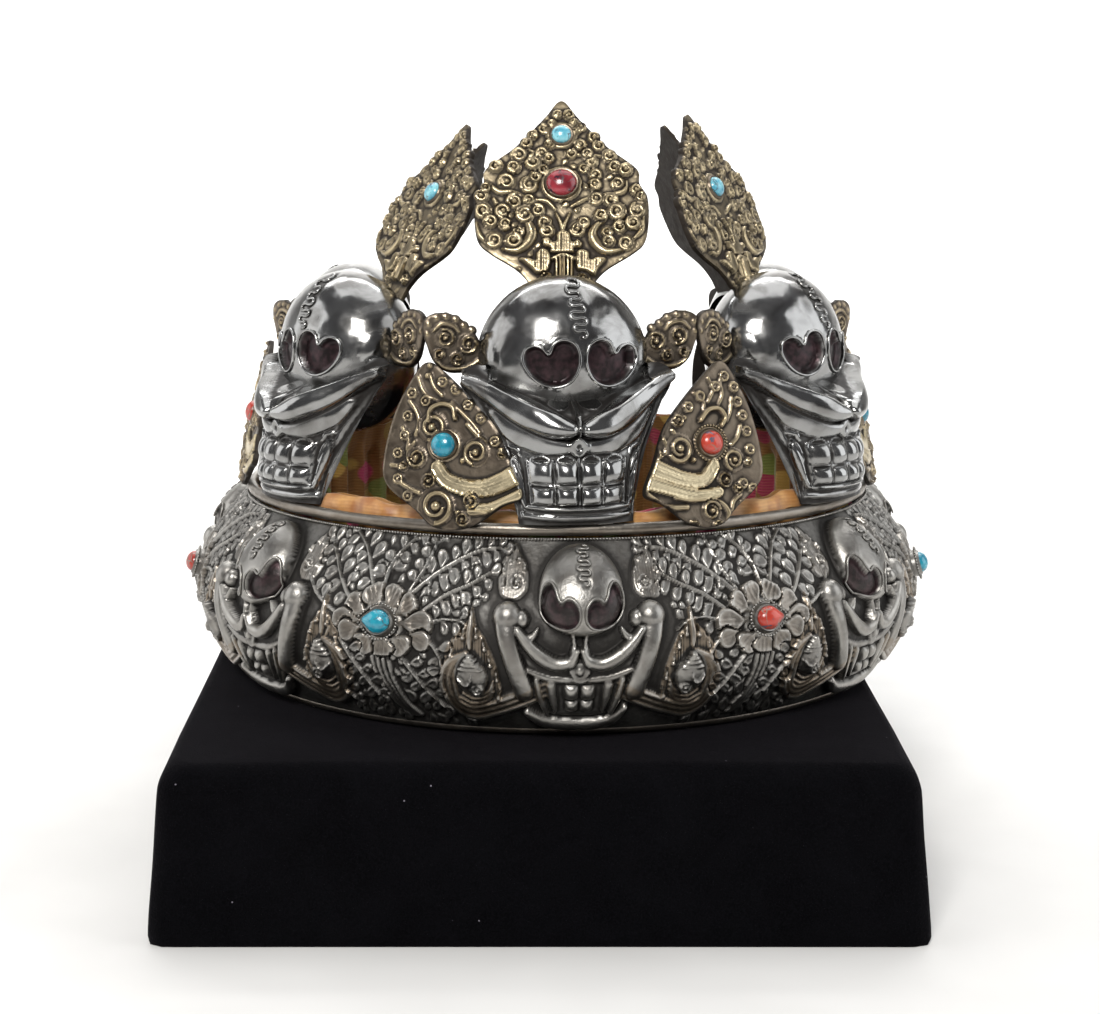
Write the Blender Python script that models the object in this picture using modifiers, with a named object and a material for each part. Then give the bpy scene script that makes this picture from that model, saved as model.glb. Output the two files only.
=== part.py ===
# Oracle crown with five skull plaques, standing on a velvet-covered display block.
# Metres, Z up. Origin: underside of the block, below the crown's axis. The crown faces -Y.

import math

import bmesh
import bpy
from mathutils import Matrix, Vector

# Clearance between pieces that touch
SEAT_GAP = 0.0003
# Clearance of a plate that is cut to pass beside a face
COPE_GAP = 0.0009
# Facets that meet within this angle, in degrees, are one face
FLAT_ANGLE = 0.5

# Display block
STAND_HEIGHT = 0.0515
STAND_FRONT_WIDTH = 0.2224
STAND_BACK_WIDTH = 0.2465
STAND_FRONT_REACH = 0.1450
STAND_BACK_REACH = 0.1250
STAND_TAPER = 0.0046
STAND_FRONT_ROUND = 0.0090
STAND_SIDE_ROUND = 0.0050
STAND_FOOT_ROUND_SHARE = 0.3
STAND_FRONT_SHIFT_X = -0.0053
STAND_BACK_SHIFT_X = -0.0098

# Head band: a turned wall between a base roll and a rim roll
BAND_BASE_RADIUS = 0.1115
BAND_BULGE_RADIUS = 0.1230
BAND_TOP_RADIUS = 0.1060
BAND_BULGE_HEIGHT = 0.0280
BAND_TOP_HEIGHT = 0.0575
BAND_WALL = 0.0018
RIM_ROLL_THICKNESS = 0.0036
RIM_ROLL_LIFT_SHARE = 0.75
RIM_ROLL_INSET_SHARE = 0.30
BASE_ROLL_THICKNESS = 0.0032
WALL_FOOT_SHARE = 1.6
BAND_SIDES = 44
BAND_STEPS = 6

# Relief on the band
RELIEF_SINK = 0.0012
MOTIF_DOME_RADIUS = 0.0132
MOTIF_DOME_HEIGHT = 0.0465
MOTIF_DOME_RISE = 0.0080
MOTIF_DOME_SQUASH = 0.8
FLOWER_WIDTH = 0.0350
FLOWER_TALL = 0.0230
FLOWER_HEIGHT = 0.0340
FLOWER_RISE = 0.0018
PETAL_NOTCH = 0.80
BAND_STONE_LENGTH = 0.0086
BAND_STONE_WIDTH = 0.0070
BAND_STONE_RISE = 0.0042

# Skull plaques
SKULL_SPACING = math.radians(57.0)
SKULL_SHIFT_X = 0.0012
SKULL_WALL = 0.0014
DOME_SEAT_RADIUS = 0.0814
DOME_CENTRE_HEIGHT = 0.1073
DOME_WIDTH = 0.0497
DOME_DEPTH = 0.0385
DOME_TALL = 0.0496
DOME_OPENING = 0.0165
JAW_BACK_RADIUS = 0.1040
CHEEK_BACK_RADIUS = 0.0891
CHEEK_HEIGHT = 0.1026
CHEEK_WIDTH = 0.0642
JAW_WIDTH = 0.0330
FACE_DEPTH = 0.0180
SOCKET_DEPTH = 0.0012
SOCKET_WIDTH = 0.0150
SOCKET_TALL = 0.0140
SOCKET_SPREAD = 0.0190
SOCKET_TURN = 0.25
TOOTH_WIDTH = 0.0068
TOOTH_RISE = 0.0009
TOOTH_FILL = 0.94
TOOTH_ROW_CURVE = 0.12
TOOTH_SINK_SHARE = 0.2
CHEEK_RIDGE_RADIUS = 0.0030

# Finials on the domes
FINIAL_FRONT_LENGTH = 0.0730
FINIAL_FRONT_WIDTH = 0.0552
FINIAL_SIDE_LENGTH = 0.0672
FINIAL_SIDE_WIDTH = 0.0535
FINIAL_SINK = 0.0121
PLATE_THICKNESS = 0.0013

# Leaf plates beside the jaws
LEAF_HEIGHT = 0.0500
LEAF_LEAN = math.radians(14.0)
LEAF_WIDTH = 0.0390
LEAF_BASE_HEIGHT = 0.0590
LEAF_STONE_SHARE = 0.51
LEAF_FOOT_SHARE = 0.27

# Ear scrolls at the temples
EAR_LENGTH = 0.0150
EAR_WIDTH = 0.0170
EAR_HEIGHT = 0.1135
EAR_CURL_SHARE = 0.28
EAR_CURL_REACH = 0.42

# Cloth lining
LINING_WALL = 0.0020
LINING_FOLDS = 20
LINING_FOLD_DEPTH = 0.0010
LINING_RIM_RADIUS = 0.1003
LINING_TOP_LEAN = 0.0040
LINING_FRONT_TOP = 0.0680
LINING_BACK_TOP = 0.0720

# Cut stones on the plates
PLATE_STONE_LENGTH = 0.0084
PLATE_STONE_WIDTH = 0.0076
PLATE_STONE_RISE = 0.0036
CENTRE_STONE_LENGTH = 0.0096
CENTRE_STONE_WIDTH = 0.0088
CENTRE_STONE_RISE = 0.0042
BEZEL_WALL = 0.0013
BEZEL_RISE = 0.0021
BEZEL_FLARE = 1.12
STONE_SIDES = 8
STONE_GIRDLE_SHARE = 0.35
STONE_SHOULDER_SHARE = 0.86
STONE_SHOULDER_RISE = 0.62

# Face of a skull plaque in level sections, lowest first.
# Columns: height from foot to cheek, front half width and back half width between jaw and cheek
# half widths (0 to 1), front reach and corner reach in front of the back plane, as shares of
# FACE_DEPTH.
FACE_SECTIONS = (
    (0.00, 0.00, 0.00, 0.25, 0.06),
    (0.15, 0.02, 0.10, 0.47, 0.14),
    (0.37, 0.08, 0.26, 0.60, 0.22),
    (0.52, 0.14, 0.39, 0.64, 0.26),
    (0.69, 0.22, 0.58, 0.82, 0.34),
    (0.84, 0.29, 0.77, 0.86, 0.36),
    (1.00, 0.36, 1.00, 0.78, 0.32),
    (1.10, 0.20, 0.62, 0.62, 0.26),
)

# Ridge of a cheek, from beside the nose out to the cheek's corner.
# Columns: share of the cheeks' half width, share of the face's height, reach in front of the
# back plane as a share of FACE_DEPTH.
CHEEK_RIDGE = (
    (0.06, 0.50, 0.62),
    (0.34, 0.48, 0.52),
    (0.64, 0.72, 0.38),
    (0.90, 0.95, 0.14),
)

# The two rows of teeth. Columns: lower and upper edge as shares of the face's height.
TOOTH_ROWS = (
    (0.12, 0.25),
    (0.28, 0.44),
)

# The lining from its foot to its top edge.
# Columns: share of its height, share of the top edge's lean.
LINING_ROWS = (
    (0.00, 0.0),
    (0.45, 0.0),
    (0.88, 0.0),
    (1.00, 1.0),
)

# Where each skull stands. Columns: name, steps round the ring, its own turn to the wearer's left
# and the lean of its finial, both in degrees, reach of the finial's foot from the crown's axis as
# a share of the dome's.
SKULL_PLACES = (
    ("front", 0, 10.0, 25.5, 0.8256),
    ("left", -1, 8.0, 28.0, 0.8256),
    ("right", 1, -9.0, 22.0, 0.8943),
    ("left_rear", -2, 0.0, 36.0, 0.8256),
    ("right_rear", 2, 0.0, 25.5, 0.8256),
)

# Where each leaf plate stands. Columns: name, azimuth in degrees, own turn in degrees, side of
# the jaw that its ribbon reaches for, width share, stone.
LEAF_PLACES = (
    ("front_left", -19.0, 0.0, 1, 1.00, "turquoise"),
    ("front_right", 26.0, 0.0, -1, 0.92, "coral"),
    ("side_left", -84.0, 8.0, 1, 1.00, "coral"),
    ("side_right", 83.0, -8.0, -1, 1.00, "turquoise"),
    ("rear_left", -138.0, 0.0, 1, 1.00, "turquoise"),
    ("rear_right", 138.0, 0.0, -1, 1.00, "coral"),
)

# Half outline of a finial, foot to tip. Columns: share of half width, share of length.
FINIAL_OUTLINE = (
    (0.24, 0.000),
    (0.34, 0.125),
    (0.50, 0.205),
    (0.80, 0.280),
    (0.95, 0.335),
    (1.00, 0.430),
    (0.99, 0.540),
    (0.90, 0.605),
    (0.87, 0.675),
    (0.53, 0.780),
    (0.20, 0.915),
    (0.00, 1.000),
)

# Raised bosses of a finial. Columns: share of half width, share of length, radius share of width.
FINIAL_BOSSES = (
    (0.00, 0.330, 0.085),
    (0.52, 0.400, 0.120),
)

# Outline of a leaf plate with its ribbon towards the jaw on +X, from the ribbon's foot round by
# the tip. Columns: share of half width, share of height.
LEAF_OUTLINE = (
    (1.32, 0.235),
    (0.99, 0.167),
    (0.49, 0.035),
    (-0.04, 0.020),
    (-0.40, 0.120),
    (-0.91, 0.265),
    (-0.98, 0.440),
    (-0.85, 0.706),
    (-0.58, 0.930),
    (-0.39, 1.000),
    (-0.16, 0.960),
    (0.42, 0.774),
    (0.82, 0.617),
    (1.03, 0.459),
    (1.10, 0.403),
)

# Raised bosses of a leaf plate. Columns: share of half width, share of height, radius share of
# half width.
LEAF_BOSSES = (
    (0.45, 0.44, 0.24),
    (0.05, 0.15, 0.22),
)

# Outline of an ear scroll, root on -X. Columns: share of length, share of half width.
EAR_OUTLINE = (
    (-0.10, -0.45),
    (0.25, -1.00),
    (0.70, -0.70),
    (1.00, 0.05),
    (0.70, 0.80),
    (0.25, 1.00),
    (-0.10, 0.30),
)

# Raised tubes of a skull motif on the band: right half of each, mirrored on the left.
# Columns: sideways and up as shares of the band's top height.
MOTIF_BONE = ((0.345, 0.715), (0.250, 0.290))
MOTIF_CHEEKS = ((0.000, 0.465), (0.140, 0.410), (0.265, 0.570))
BONE_RADIUS = 0.0027
CHEEK_RADIUS = 0.0022

# Flat raised fields of a motif, of drop or round outline.
# Columns: piece, centre sideways and up, half width and half height as shares of the band's top
# height, how far the top is drawn to a point (0 to 1), rise as a share of the dome's.
MOTIF_SIDE_FIELD = ("flame", 0.535, 0.440, 0.150, 0.260, 0.75, 0.25)
MOTIF_MIDDLE_FIELD = ("teeth", 0.0, 0.230, 0.170, 0.110, 0.0, 0.30)

# Azimuths of the skull motifs on the band, in degrees
MOTIF_AZIMUTHS = (-101.5, -49.7, 3.2, 52.8, 104.5)

# Flowers on the band. Columns: name, azimuth in degrees, stone.
FLOWER_PLACES = (
    ("front_left", -24.9, "turquoise"),
    ("front_right", 29.6, "coral"),
    ("side_left", -79.0, "coral"),
    ("side_right", 78.0, "turquoise"),
    ("rear_left", -129.0, "turquoise"),
    ("rear_right", 130.0, "coral"),
)

# Columns: name, colour, roughness, metallic
MATERIALS = (
    ("velvet", (0.006, 0.005, 0.009, 1.0), 0.95, 0.0),
    ("silver", (0.42, 0.42, 0.41, 1.0), 0.32, 1.0),
    ("bright_silver", (0.60, 0.60, 0.58, 1.0), 0.18, 1.0),
    ("gilt", (0.46, 0.39, 0.30, 1.0), 0.35, 1.0),
    ("lining_silk", (0.42, 0.20, 0.10, 1.0), 0.80, 0.0),
    ("turquoise", (0.06, 0.38, 0.42, 1.0), 0.30, 0.0),
    ("coral", (0.50, 0.07, 0.05, 1.0), 0.35, 0.0),
)

CROWN_BASE = STAND_HEIGHT + SEAT_GAP
RIM_HEIGHT = BAND_TOP_HEIGHT + RIM_ROLL_THICKNESS * RIM_ROLL_LIFT_SHARE
RIM_RADIUS = BAND_TOP_RADIUS - RIM_ROLL_THICKNESS * RIM_ROLL_INSET_SHARE
RIM_TOP = RIM_HEIGHT + RIM_ROLL_THICKNESS / 2
SKULL_FOOT = RIM_TOP + SEAT_GAP
FACE_TALL = CHEEK_HEIGHT - SKULL_FOOT
FINIAL_FOOT = DOME_CENTRE_HEIGHT + DOME_TALL / 2 - FINIAL_SINK


def clear_scene():
    for obj in list(bpy.data.objects):
        bpy.data.objects.remove(obj, do_unlink=True)


def new_collection(name):
    collection = bpy.data.collections.new(name)
    bpy.context.scene.collection.children.link(collection)
    return collection


def make_materials():
    made = {}
    for name, colour, roughness, metallic in MATERIALS:
        material = bpy.data.materials.new(name)
        material.use_nodes = True
        shader = material.node_tree.nodes["Principled BSDF"]
        shader.inputs["Base Color"].default_value = colour
        shader.inputs["Roughness"].default_value = roughness
        shader.inputs["Metallic"].default_value = metallic
        material.diffuse_color = colour
        made[name] = material
    return made


def object_from(bm, name, collection):
    bmesh.ops.recalc_face_normals(bm, faces=bm.faces)
    mesh = bpy.data.meshes.new(name)
    bm.to_mesh(mesh)
    bm.free()
    obj = bpy.data.objects.new(name, mesh)
    collection.objects.link(obj)
    return obj


def make_guide(obj):
    obj.hide_render = True
    obj.display_type = "WIRE"
    return obj


def boolean(obj, operand, operation):
    modifier = obj.modifiers.new(operation.lower(), "BOOLEAN")
    modifier.operation = operation
    modifier.solver = "EXACT"
    if isinstance(operand, bpy.types.Collection):
        modifier.operand_type = "COLLECTION"
        modifier.collection = operand
    else:
        modifier.object = operand
    return modifier


def settled_mesh(obj, name):
    """Mesh of an object with its modifiers or its curve worked out: a curve's caps are welded,
    and flat neighbours left by a Boolean are merged."""
    bpy.context.view_layer.update()
    evaluated = obj.evaluated_get(bpy.context.evaluated_depsgraph_get())
    mesh = bpy.data.meshes.new_from_object(evaluated)
    mesh.name = name
    bm = bmesh.new()
    bm.from_mesh(mesh)
    if obj.type == "CURVE":
        bmesh.ops.remove_doubles(bm, verts=bm.verts, dist=0.00002)
    else:
        bmesh.ops.dissolve_limit(bm, angle_limit=math.radians(FLAT_ANGLE), verts=bm.verts,
                                 edges=bm.edges)
        bmesh.ops.triangulate(bm, faces=[face for face in bm.faces if len(face.verts) > 4])
    bm.to_mesh(mesh)
    bm.free()
    return mesh


def settle(obj, name, collection):
    """Replace an object by a plain mesh object of its worked-out shape."""
    mesh = settled_mesh(obj, name)
    obj.name = name + "_rough"
    placed = bpy.data.objects.new(name, mesh)
    placed.matrix_world = obj.matrix_world.copy()
    collection.objects.link(placed)
    bpy.data.objects.remove(obj, do_unlink=True)
    return placed


def finish(obj, material, angle=math.radians(35.0)):
    obj.data.materials.clear()
    obj.data.materials.append(material)
    obj.data.shade_smooth()
    obj.data.set_sharp_from_angle(angle=angle)
    return obj


def band_radius(height):
    """Outside radius of the band wall at a height above the crown's base."""
    if height < BAND_BULGE_HEIGHT:
        share = 1.0 - height / BAND_BULGE_HEIGHT
        return BAND_BASE_RADIUS + (BAND_BULGE_RADIUS - BAND_BASE_RADIUS) * math.cos(share * math.pi / 2)
    share = (height - BAND_BULGE_HEIGHT) / (BAND_TOP_HEIGHT - BAND_BULGE_HEIGHT)
    return BAND_TOP_RADIUS + (BAND_BULGE_RADIUS - BAND_TOP_RADIUS) * math.cos(share * math.pi / 2)


def band_slope(height):
    step = BAND_TOP_HEIGHT * 0.004
    return (band_radius(height + step) - band_radius(height - step)) / (2 * step)


def on_band(azimuth, sideways, height, rise):
    """Point over the band wall: sideways along it, at a height, risen square to the wall."""
    slope = band_slope(height)
    outward = Vector((1.0, -slope)).normalized()
    radius = band_radius(height) + rise * outward.x
    angle = azimuth + sideways / BAND_BULGE_RADIUS
    return Vector((radius * math.sin(angle), -radius * math.cos(angle), height + rise * outward.y))


def band_frame(azimuth, sideways, height, rise):
    """Matrix standing on the band wall: X along the wall, Y up the wall, Z outward."""
    angle = azimuth + sideways / BAND_BULGE_RADIUS
    slope = band_slope(height)
    flat_out = Vector((math.sin(angle), -math.cos(angle), 0.0))
    outward = (flat_out + Vector((0.0, 0.0, -slope))).normalized()
    along = Vector((math.cos(angle), math.sin(angle), 0.0))
    up = outward.cross(along)
    frame = Matrix((along, up, outward)).transposed().to_4x4()
    frame.translation = on_band(azimuth, sideways, height, rise)
    return frame


def turned_object(name, profile, sides, collection):
    """Closed ring turned from a closed profile of (radius, height) points."""
    bm = bmesh.new()
    points = [bm.verts.new((radius, 0.0, height)) for radius, height in profile]
    for index, point in enumerate(points):
        bm.edges.new((point, points[(index + 1) % len(points)]))
    mesh = bpy.data.meshes.new(name)
    bm.to_mesh(mesh)
    bm.free()
    obj = bpy.data.objects.new(name, mesh)
    collection.objects.link(obj)
    screw = obj.modifiers.new("turn", "SCREW")
    screw.axis = "Z"
    screw.angle = 2 * math.pi
    screw.steps = sides
    screw.render_steps = sides
    screw.use_merge_vertices = True
    screw.merge_threshold = 0.00001
    return obj


def arc(centre, radius, start, end, count):
    """Points on an arc, angles in degrees, clockwise or anticlockwise as given."""
    points = []
    for index in range(count):
        angle = math.radians(start + (end - start) * index / (count - 1))
        points.append((centre[0] + radius * math.cos(angle), centre[1] + radius * math.sin(angle)))
    return points


def tube_mesh(points, radius, collection, name, place=None):
    """Capped tube along points as a mesh object; place maps each flat vertex, when given."""
    curve = bpy.data.curves.new(name, "CURVE")
    curve.dimensions = "3D"
    curve.bevel_depth = radius
    curve.bevel_resolution = 0
    curve.use_fill_caps = True
    spline = curve.splines.new("POLY")
    spline.points.add(len(points) - 1)
    for point, target in zip(spline.points, points):
        point.co = (*target, 1.0)
    obj = bpy.data.objects.new(name, curve)
    collection.objects.link(obj)
    meshed = settle(obj, name, collection)
    if place:
        for vertex in meshed.data.vertices:
            vertex.co = place(vertex.co)
    bm = bmesh.new()
    bm.from_mesh(meshed.data)
    bmesh.ops.recalc_face_normals(bm, faces=bm.faces)
    bm.to_mesh(meshed.data)
    bm.free()
    return make_guide(meshed)


def plate_object(name, outline, thickness, collection):
    """Flat plate in XY cut to an outline, its back face at Z = 0."""
    curve = bpy.data.curves.new(name, "CURVE")
    curve.dimensions = "2D"
    curve.fill_mode = "BOTH"
    curve.extrude = thickness / 2
    spline = curve.splines.new("POLY")
    spline.points.add(len(outline) - 1)
    for point, (x, y) in zip(spline.points, outline):
        point.co = (x, y, 0.0, 1.0)
    spline.use_cyclic_u = True
    obj = bpy.data.objects.new(name, curve)
    obj.location = (0.0, 0.0, thickness / 2)
    collection.objects.link(obj)
    meshed = settle(obj, name, collection)
    meshed.data.transform(meshed.matrix_world)
    meshed.matrix_world = Matrix.Identity(4)
    return meshed


def add_boss(bm, x, y, radius):
    """Low round boss on a plate's front face."""
    bmesh.ops.create_icosphere(bm, subdivisions=1, radius=radius)
    for vertex in bm.verts:
        vertex.co.z *= PLATE_THICKNESS / radius
        vertex.co += Vector((x, y, PLATE_THICKNESS))


def cabochon(length, width, rise, grow):
    """Cabochon on XY: straight girdle, domed top, flat base, long along X."""
    girdle = rise * STONE_GIRDLE_SHARE
    shoulder = girdle + (rise - girdle) * STONE_SHOULDER_RISE
    rings = ((1.0, -grow), (1.0, girdle), (STONE_SHOULDER_SHARE, shoulder))
    sides = STONE_SIDES
    bm = bmesh.new()
    loops = []
    for share, height in rings:
        lift = grow if height > girdle else 0.0
        loops.append([bm.verts.new(((length / 2 + grow) * share * math.cos(2 * math.pi * k / sides),
                                    (width / 2 + grow) * share * math.sin(2 * math.pi * k / sides),
                                    height + lift)) for k in range(sides)])
    for low, high in zip(loops, loops[1:]):
        for k in range(sides):
            bm.faces.new((low[k], low[(k + 1) % sides], high[(k + 1) % sides], high[k]))
    top = bm.verts.new((0.0, 0.0, rise + grow))
    base = bm.verts.new((0.0, 0.0, -grow))
    for k in range(sides):
        bm.faces.new((loops[-1][k], loops[-1][(k + 1) % sides], top))
        bm.faces.new((loops[0][(k + 1) % sides], loops[0][k], base))
    return bm


def bezel_object(name, length, width, frame, collection):
    """Cup that holds a cabochon, standing on a frame's XY plane."""
    bm = bmesh.new()
    bmesh.ops.create_cone(bm, cap_ends=True, segments=STONE_SIDES, radius1=BEZEL_FLARE, radius2=1.0,
                          depth=1.0)
    bmesh.ops.rotate(bm, verts=bm.verts, matrix=Matrix.Rotation(math.pi / STONE_SIDES, 3, "Z"))
    for vertex in bm.verts:
        vertex.co.x *= length / 2 + BEZEL_WALL
        vertex.co.y *= width / 2 + BEZEL_WALL
        vertex.co.z = BEZEL_RISE if vertex.co.z > 0 else -PLATE_THICKNESS / 2
    bm.transform(frame)
    return make_guide(object_from(bm, name, collection))


def set_stone(name, size, frame, collection, cutters, material):
    """A stone on a frame, and the enlarged copy that cuts its seat."""
    length, width, rise = size
    bm = cabochon(length, width, rise, 0.0)
    bm.transform(frame)
    stone = finish(object_from(bm, name, collection), material)
    bm = cabochon(length, width, rise, SEAT_GAP)
    bm.transform(frame)
    make_guide(object_from(bm, name + "_seat", cutters))
    return stone


def field_object(name, outline, rise, azimuth, collection):
    """Raised field on the band: an outline of (sideways, height), walls and a crowned top."""
    centre = Vector((sum(x for x, _ in outline), sum(y for _, y in outline))) / len(outline)
    bm = bmesh.new()
    loops = []
    sink = RELIEF_SINK * 0.9
    for share, lift in ((1.0, -sink), (1.0, rise * 0.6), (0.62, rise)):
        loop = []
        for x, y in outline:
            spot = centre.lerp(Vector((x, y)), share)
            loop.append(bm.verts.new(on_band(azimuth, spot.x, spot.y, lift)))
        loops.append(loop)
    count = len(outline)
    for low, high in zip(loops, loops[1:]):
        for k in range(count):
            bm.faces.new((low[k], low[(k + 1) % count], high[(k + 1) % count], high[k]))
    top = bm.verts.new(on_band(azimuth, centre.x, centre.y, rise))
    foot = bm.verts.new(on_band(azimuth, centre.x, centre.y, -sink))
    for k in range(count):
        bm.faces.new((loops[-1][k], loops[-1][(k + 1) % count], top))
        bm.faces.new((loops[0][(k + 1) % count], loops[0][k], foot))
    bmesh.ops.triangulate(bm, faces=bm.faces)
    return make_guide(object_from(bm, name, collection))


def drop_outline(x, y, half_width, half_height, point, count):
    """Round or drop-shaped outline; point draws its top out to a tip."""
    outline = []
    for k in range(count):
        angle = 2 * math.pi * k / count
        narrowing = 1.0 - point * max(math.cos(angle), 0.0)
        outline.append((x - half_width * math.sin(angle) * narrowing, y + half_height * math.cos(angle)))
    return outline


def flower_outline(x, y, count):
    """Petalled flower outline, a petal to every second point."""
    outline = []
    for k in range(count):
        angle = 2 * math.pi * k / count
        reach = 1.0 if k % 2 == 0 else PETAL_NOTCH
        outline.append((x - FLOWER_WIDTH / 2 * reach * math.sin(angle),
                        y + FLOWER_TALL / 2 * reach * math.cos(angle)))
    return outline


def build_motif(azimuth, tag, relief):
    """Skull with crossed bones and flames, raised on the band."""
    reach = BAND_TOP_HEIGHT
    bm = bmesh.new()
    bmesh.ops.create_uvsphere(bm, u_segments=10, v_segments=6, radius=1.0)
    for vertex in bm.verts:
        x, y, z = vertex.co * MOTIF_DOME_RADIUS
        rise = max(z / MOTIF_DOME_RADIUS * MOTIF_DOME_RISE, -RELIEF_SINK * 1.1)
        vertex.co = on_band(azimuth, x, MOTIF_DOME_HEIGHT + y * MOTIF_DOME_SQUASH, rise)
    make_guide(object_from(bm, "motif_dome_" + tag, relief))
    bones = [[(side * x, y) for x, y in MOTIF_BONE] for side in (-1, 1)]
    cheeks = [(-x, y) for x, y in reversed(MOTIF_CHEEKS[1:])] + list(MOTIF_CHEEKS)
    tubes = (("bone_left", BONE_RADIUS, bones[0]), ("bone_right", BONE_RADIUS, bones[1]),
             ("cheeks", CHEEK_RADIUS, cheeks))
    for piece, radius, route in tubes:
        sink = RELIEF_SINK * radius / CHEEK_RADIUS
        points = [(x * reach, y * reach, 0.0) for x, y in route]
        tube_mesh(points, radius, relief, f"motif_{piece}_{tag}",
                  lambda co: on_band(azimuth, co.x, co.y, max(co.z, -sink)))
    for side in (-1, 1, 0):
        field = MOTIF_SIDE_FIELD if side else MOTIF_MIDDLE_FIELD
        piece, x, y, half_width, half_height, point, rise = field
        outline = drop_outline(side * x * reach, y * reach, half_width * reach, half_height * reach,
                               point, 6)
        field_object(f"motif_{piece}_{tag}_{side}", outline, rise * MOTIF_DOME_RISE, azimuth, relief)


def build_flower(azimuth, tag, colour, relief, seats, pieces, materials):
    """Flower on the band with a stone in a bezel at its heart."""
    field_object("flower_" + tag, flower_outline(0.0, FLOWER_HEIGHT, 12), FLOWER_RISE, azimuth, relief)
    frame = band_frame(azimuth, 0.0, FLOWER_HEIGHT, FLOWER_RISE)
    bezel_object("bezel_" + tag, BAND_STONE_LENGTH, BAND_STONE_WIDTH, frame, relief)
    seat_frame = frame @ Matrix.Translation((0.0, 0.0, SEAT_GAP))
    size = (BAND_STONE_LENGTH, BAND_STONE_WIDTH, BAND_STONE_RISE)
    stone = set_stone("stone_band_" + tag, size, seat_frame, pieces, seats, materials[colour])
    stone.location = (0.0, 0.0, CROWN_BASE)


def build_band(pieces, guides, materials):
    """Silver band: turned wall and rolls, with the relief and bezels soldered on."""
    relief = bpy.data.collections.new("band_relief")
    seats = bpy.data.collections.new("band_seats")
    guides.children.link(relief)
    guides.children.link(seats)

    for place, azimuth in enumerate(MOTIF_AZIMUTHS):
        build_motif(math.radians(azimuth), str(place), relief)
    for tag, azimuth, colour in FLOWER_PLACES:
        build_flower(math.radians(azimuth), tag, colour, relief, seats, pieces, materials)

    half_roll = RIM_ROLL_THICKNESS / 2
    half_base = BASE_ROLL_THICKNESS / 2
    profile = arc((RIM_RADIUS, RIM_HEIGHT), half_roll, 200.0, -20.0, 6)
    wall_foot = half_base * WALL_FOOT_SHARE
    heights = [BAND_TOP_HEIGHT + (wall_foot - BAND_TOP_HEIGHT) * step / BAND_STEPS
               for step in range(BAND_STEPS + 1)]
    profile += [(band_radius(height), height) for height in heights]
    profile += arc((BAND_BASE_RADIUS, half_base), half_base, 20.0, -160.0, 4)
    for height in reversed(heights[::2]):
        wall = BAND_WALL * math.sqrt(1.0 + band_slope(height) ** 2)
        profile.append((band_radius(height) - wall, height))
    band = turned_object("band", profile, BAND_SIDES, pieces)
    boolean(band, relief, "UNION")
    boolean(band, seats, "DIFFERENCE")
    band = settle(band, "band", pieces)
    band.location = (0.0, 0.0, CROWN_BASE)
    return finish(band, materials["silver"], math.radians(30.0))


def back_plane(share):
    """Reach of the open back, which leans in from the jaw to the cheeks."""
    return JAW_BACK_RADIUS + (CHEEK_BACK_RADIUS - JAW_BACK_RADIUS) * share


def face_ring(share, inset, past):
    """Level section of the face at a height share: points from the back left round the front."""
    rows = FACE_SECTIONS
    upper = next((k for k in range(1, len(rows)) if rows[k][0] >= share), len(rows) - 1)
    low, high = rows[upper - 1], rows[upper]
    blend = (share - low[0]) / (high[0] - low[0])
    front, back, reach, corner = (a + (b - a) * blend for a, b in zip(low[1:], high[1:]))
    jaw, cheek = JAW_WIDTH / 2, CHEEK_WIDTH / 2
    half_front = jaw + (cheek - jaw) * front - inset
    half_back = jaw + (cheek - jaw) * back - inset
    plane = back_plane(share)
    nose = plane + FACE_DEPTH * reach - inset
    edge = plane + FACE_DEPTH * corner - inset * 0.8
    rear = plane - past
    half = [(0.0, nose), (half_front * 0.55, nose - (nose - edge) * 0.24), (half_front, edge),
            (half_front + (half_back - half_front) * 0.55, edge + (rear - edge) * 0.5), (half_back, rear)]
    return [(-x, -y) for x, y in reversed(half[1:])] + [(x, -y) for x, y in half]


def face_loft(inset, past, name, collection):
    """Lofted face: sections stacked from the foot to above the cheeks, or a hollow inside them."""
    bm = bmesh.new()
    loops = []
    rows = FACE_SECTIONS[::2] + FACE_SECTIONS[-1:] if inset > 0.0 else FACE_SECTIONS
    for row in rows:
        share = max(row[0], inset / FACE_TALL)
        height = SKULL_FOOT + FACE_TALL * share
        loops.append([bm.verts.new((x, y, height)) for x, y in face_ring(share, inset, past)])
    count = len(loops[0])
    for low, high in zip(loops, loops[1:]):
        for k in range(count):
            bm.faces.new((low[k], low[(k + 1) % count], high[(k + 1) % count], high[k]))
    bm.faces.new(list(reversed(loops[0])))
    bm.faces.new(loops[-1])
    bmesh.ops.triangulate(bm, faces=bm.faces)
    return object_from(bm, name, collection)


def dome_object(grow, segments, rings, name, collection):
    bm = bmesh.new()
    bmesh.ops.create_uvsphere(bm, u_segments=segments, v_segments=rings, radius=1.0)
    for vertex in bm.verts:
        vertex.co.x *= DOME_WIDTH / 2 + grow
        vertex.co.y = vertex.co.y * (DOME_DEPTH / 2 + grow) - DOME_SEAT_RADIUS
        vertex.co.z = vertex.co.z * (DOME_TALL / 2 + grow) + DOME_CENTRE_HEIGHT
    return object_from(bm, name, collection)


def ridge_tube(side, grow, name, collection):
    """Rolled ridge that runs from beside the nose out along a cheek."""
    points = [(side * x * CHEEK_WIDTH / 2, -(back_plane(up) + FACE_DEPTH * out),
               SKULL_FOOT + FACE_TALL * up) for x, up, out in CHEEK_RIDGE]
    return tube_mesh(points, CHEEK_RIDGE_RADIUS + grow, collection, name)


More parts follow.
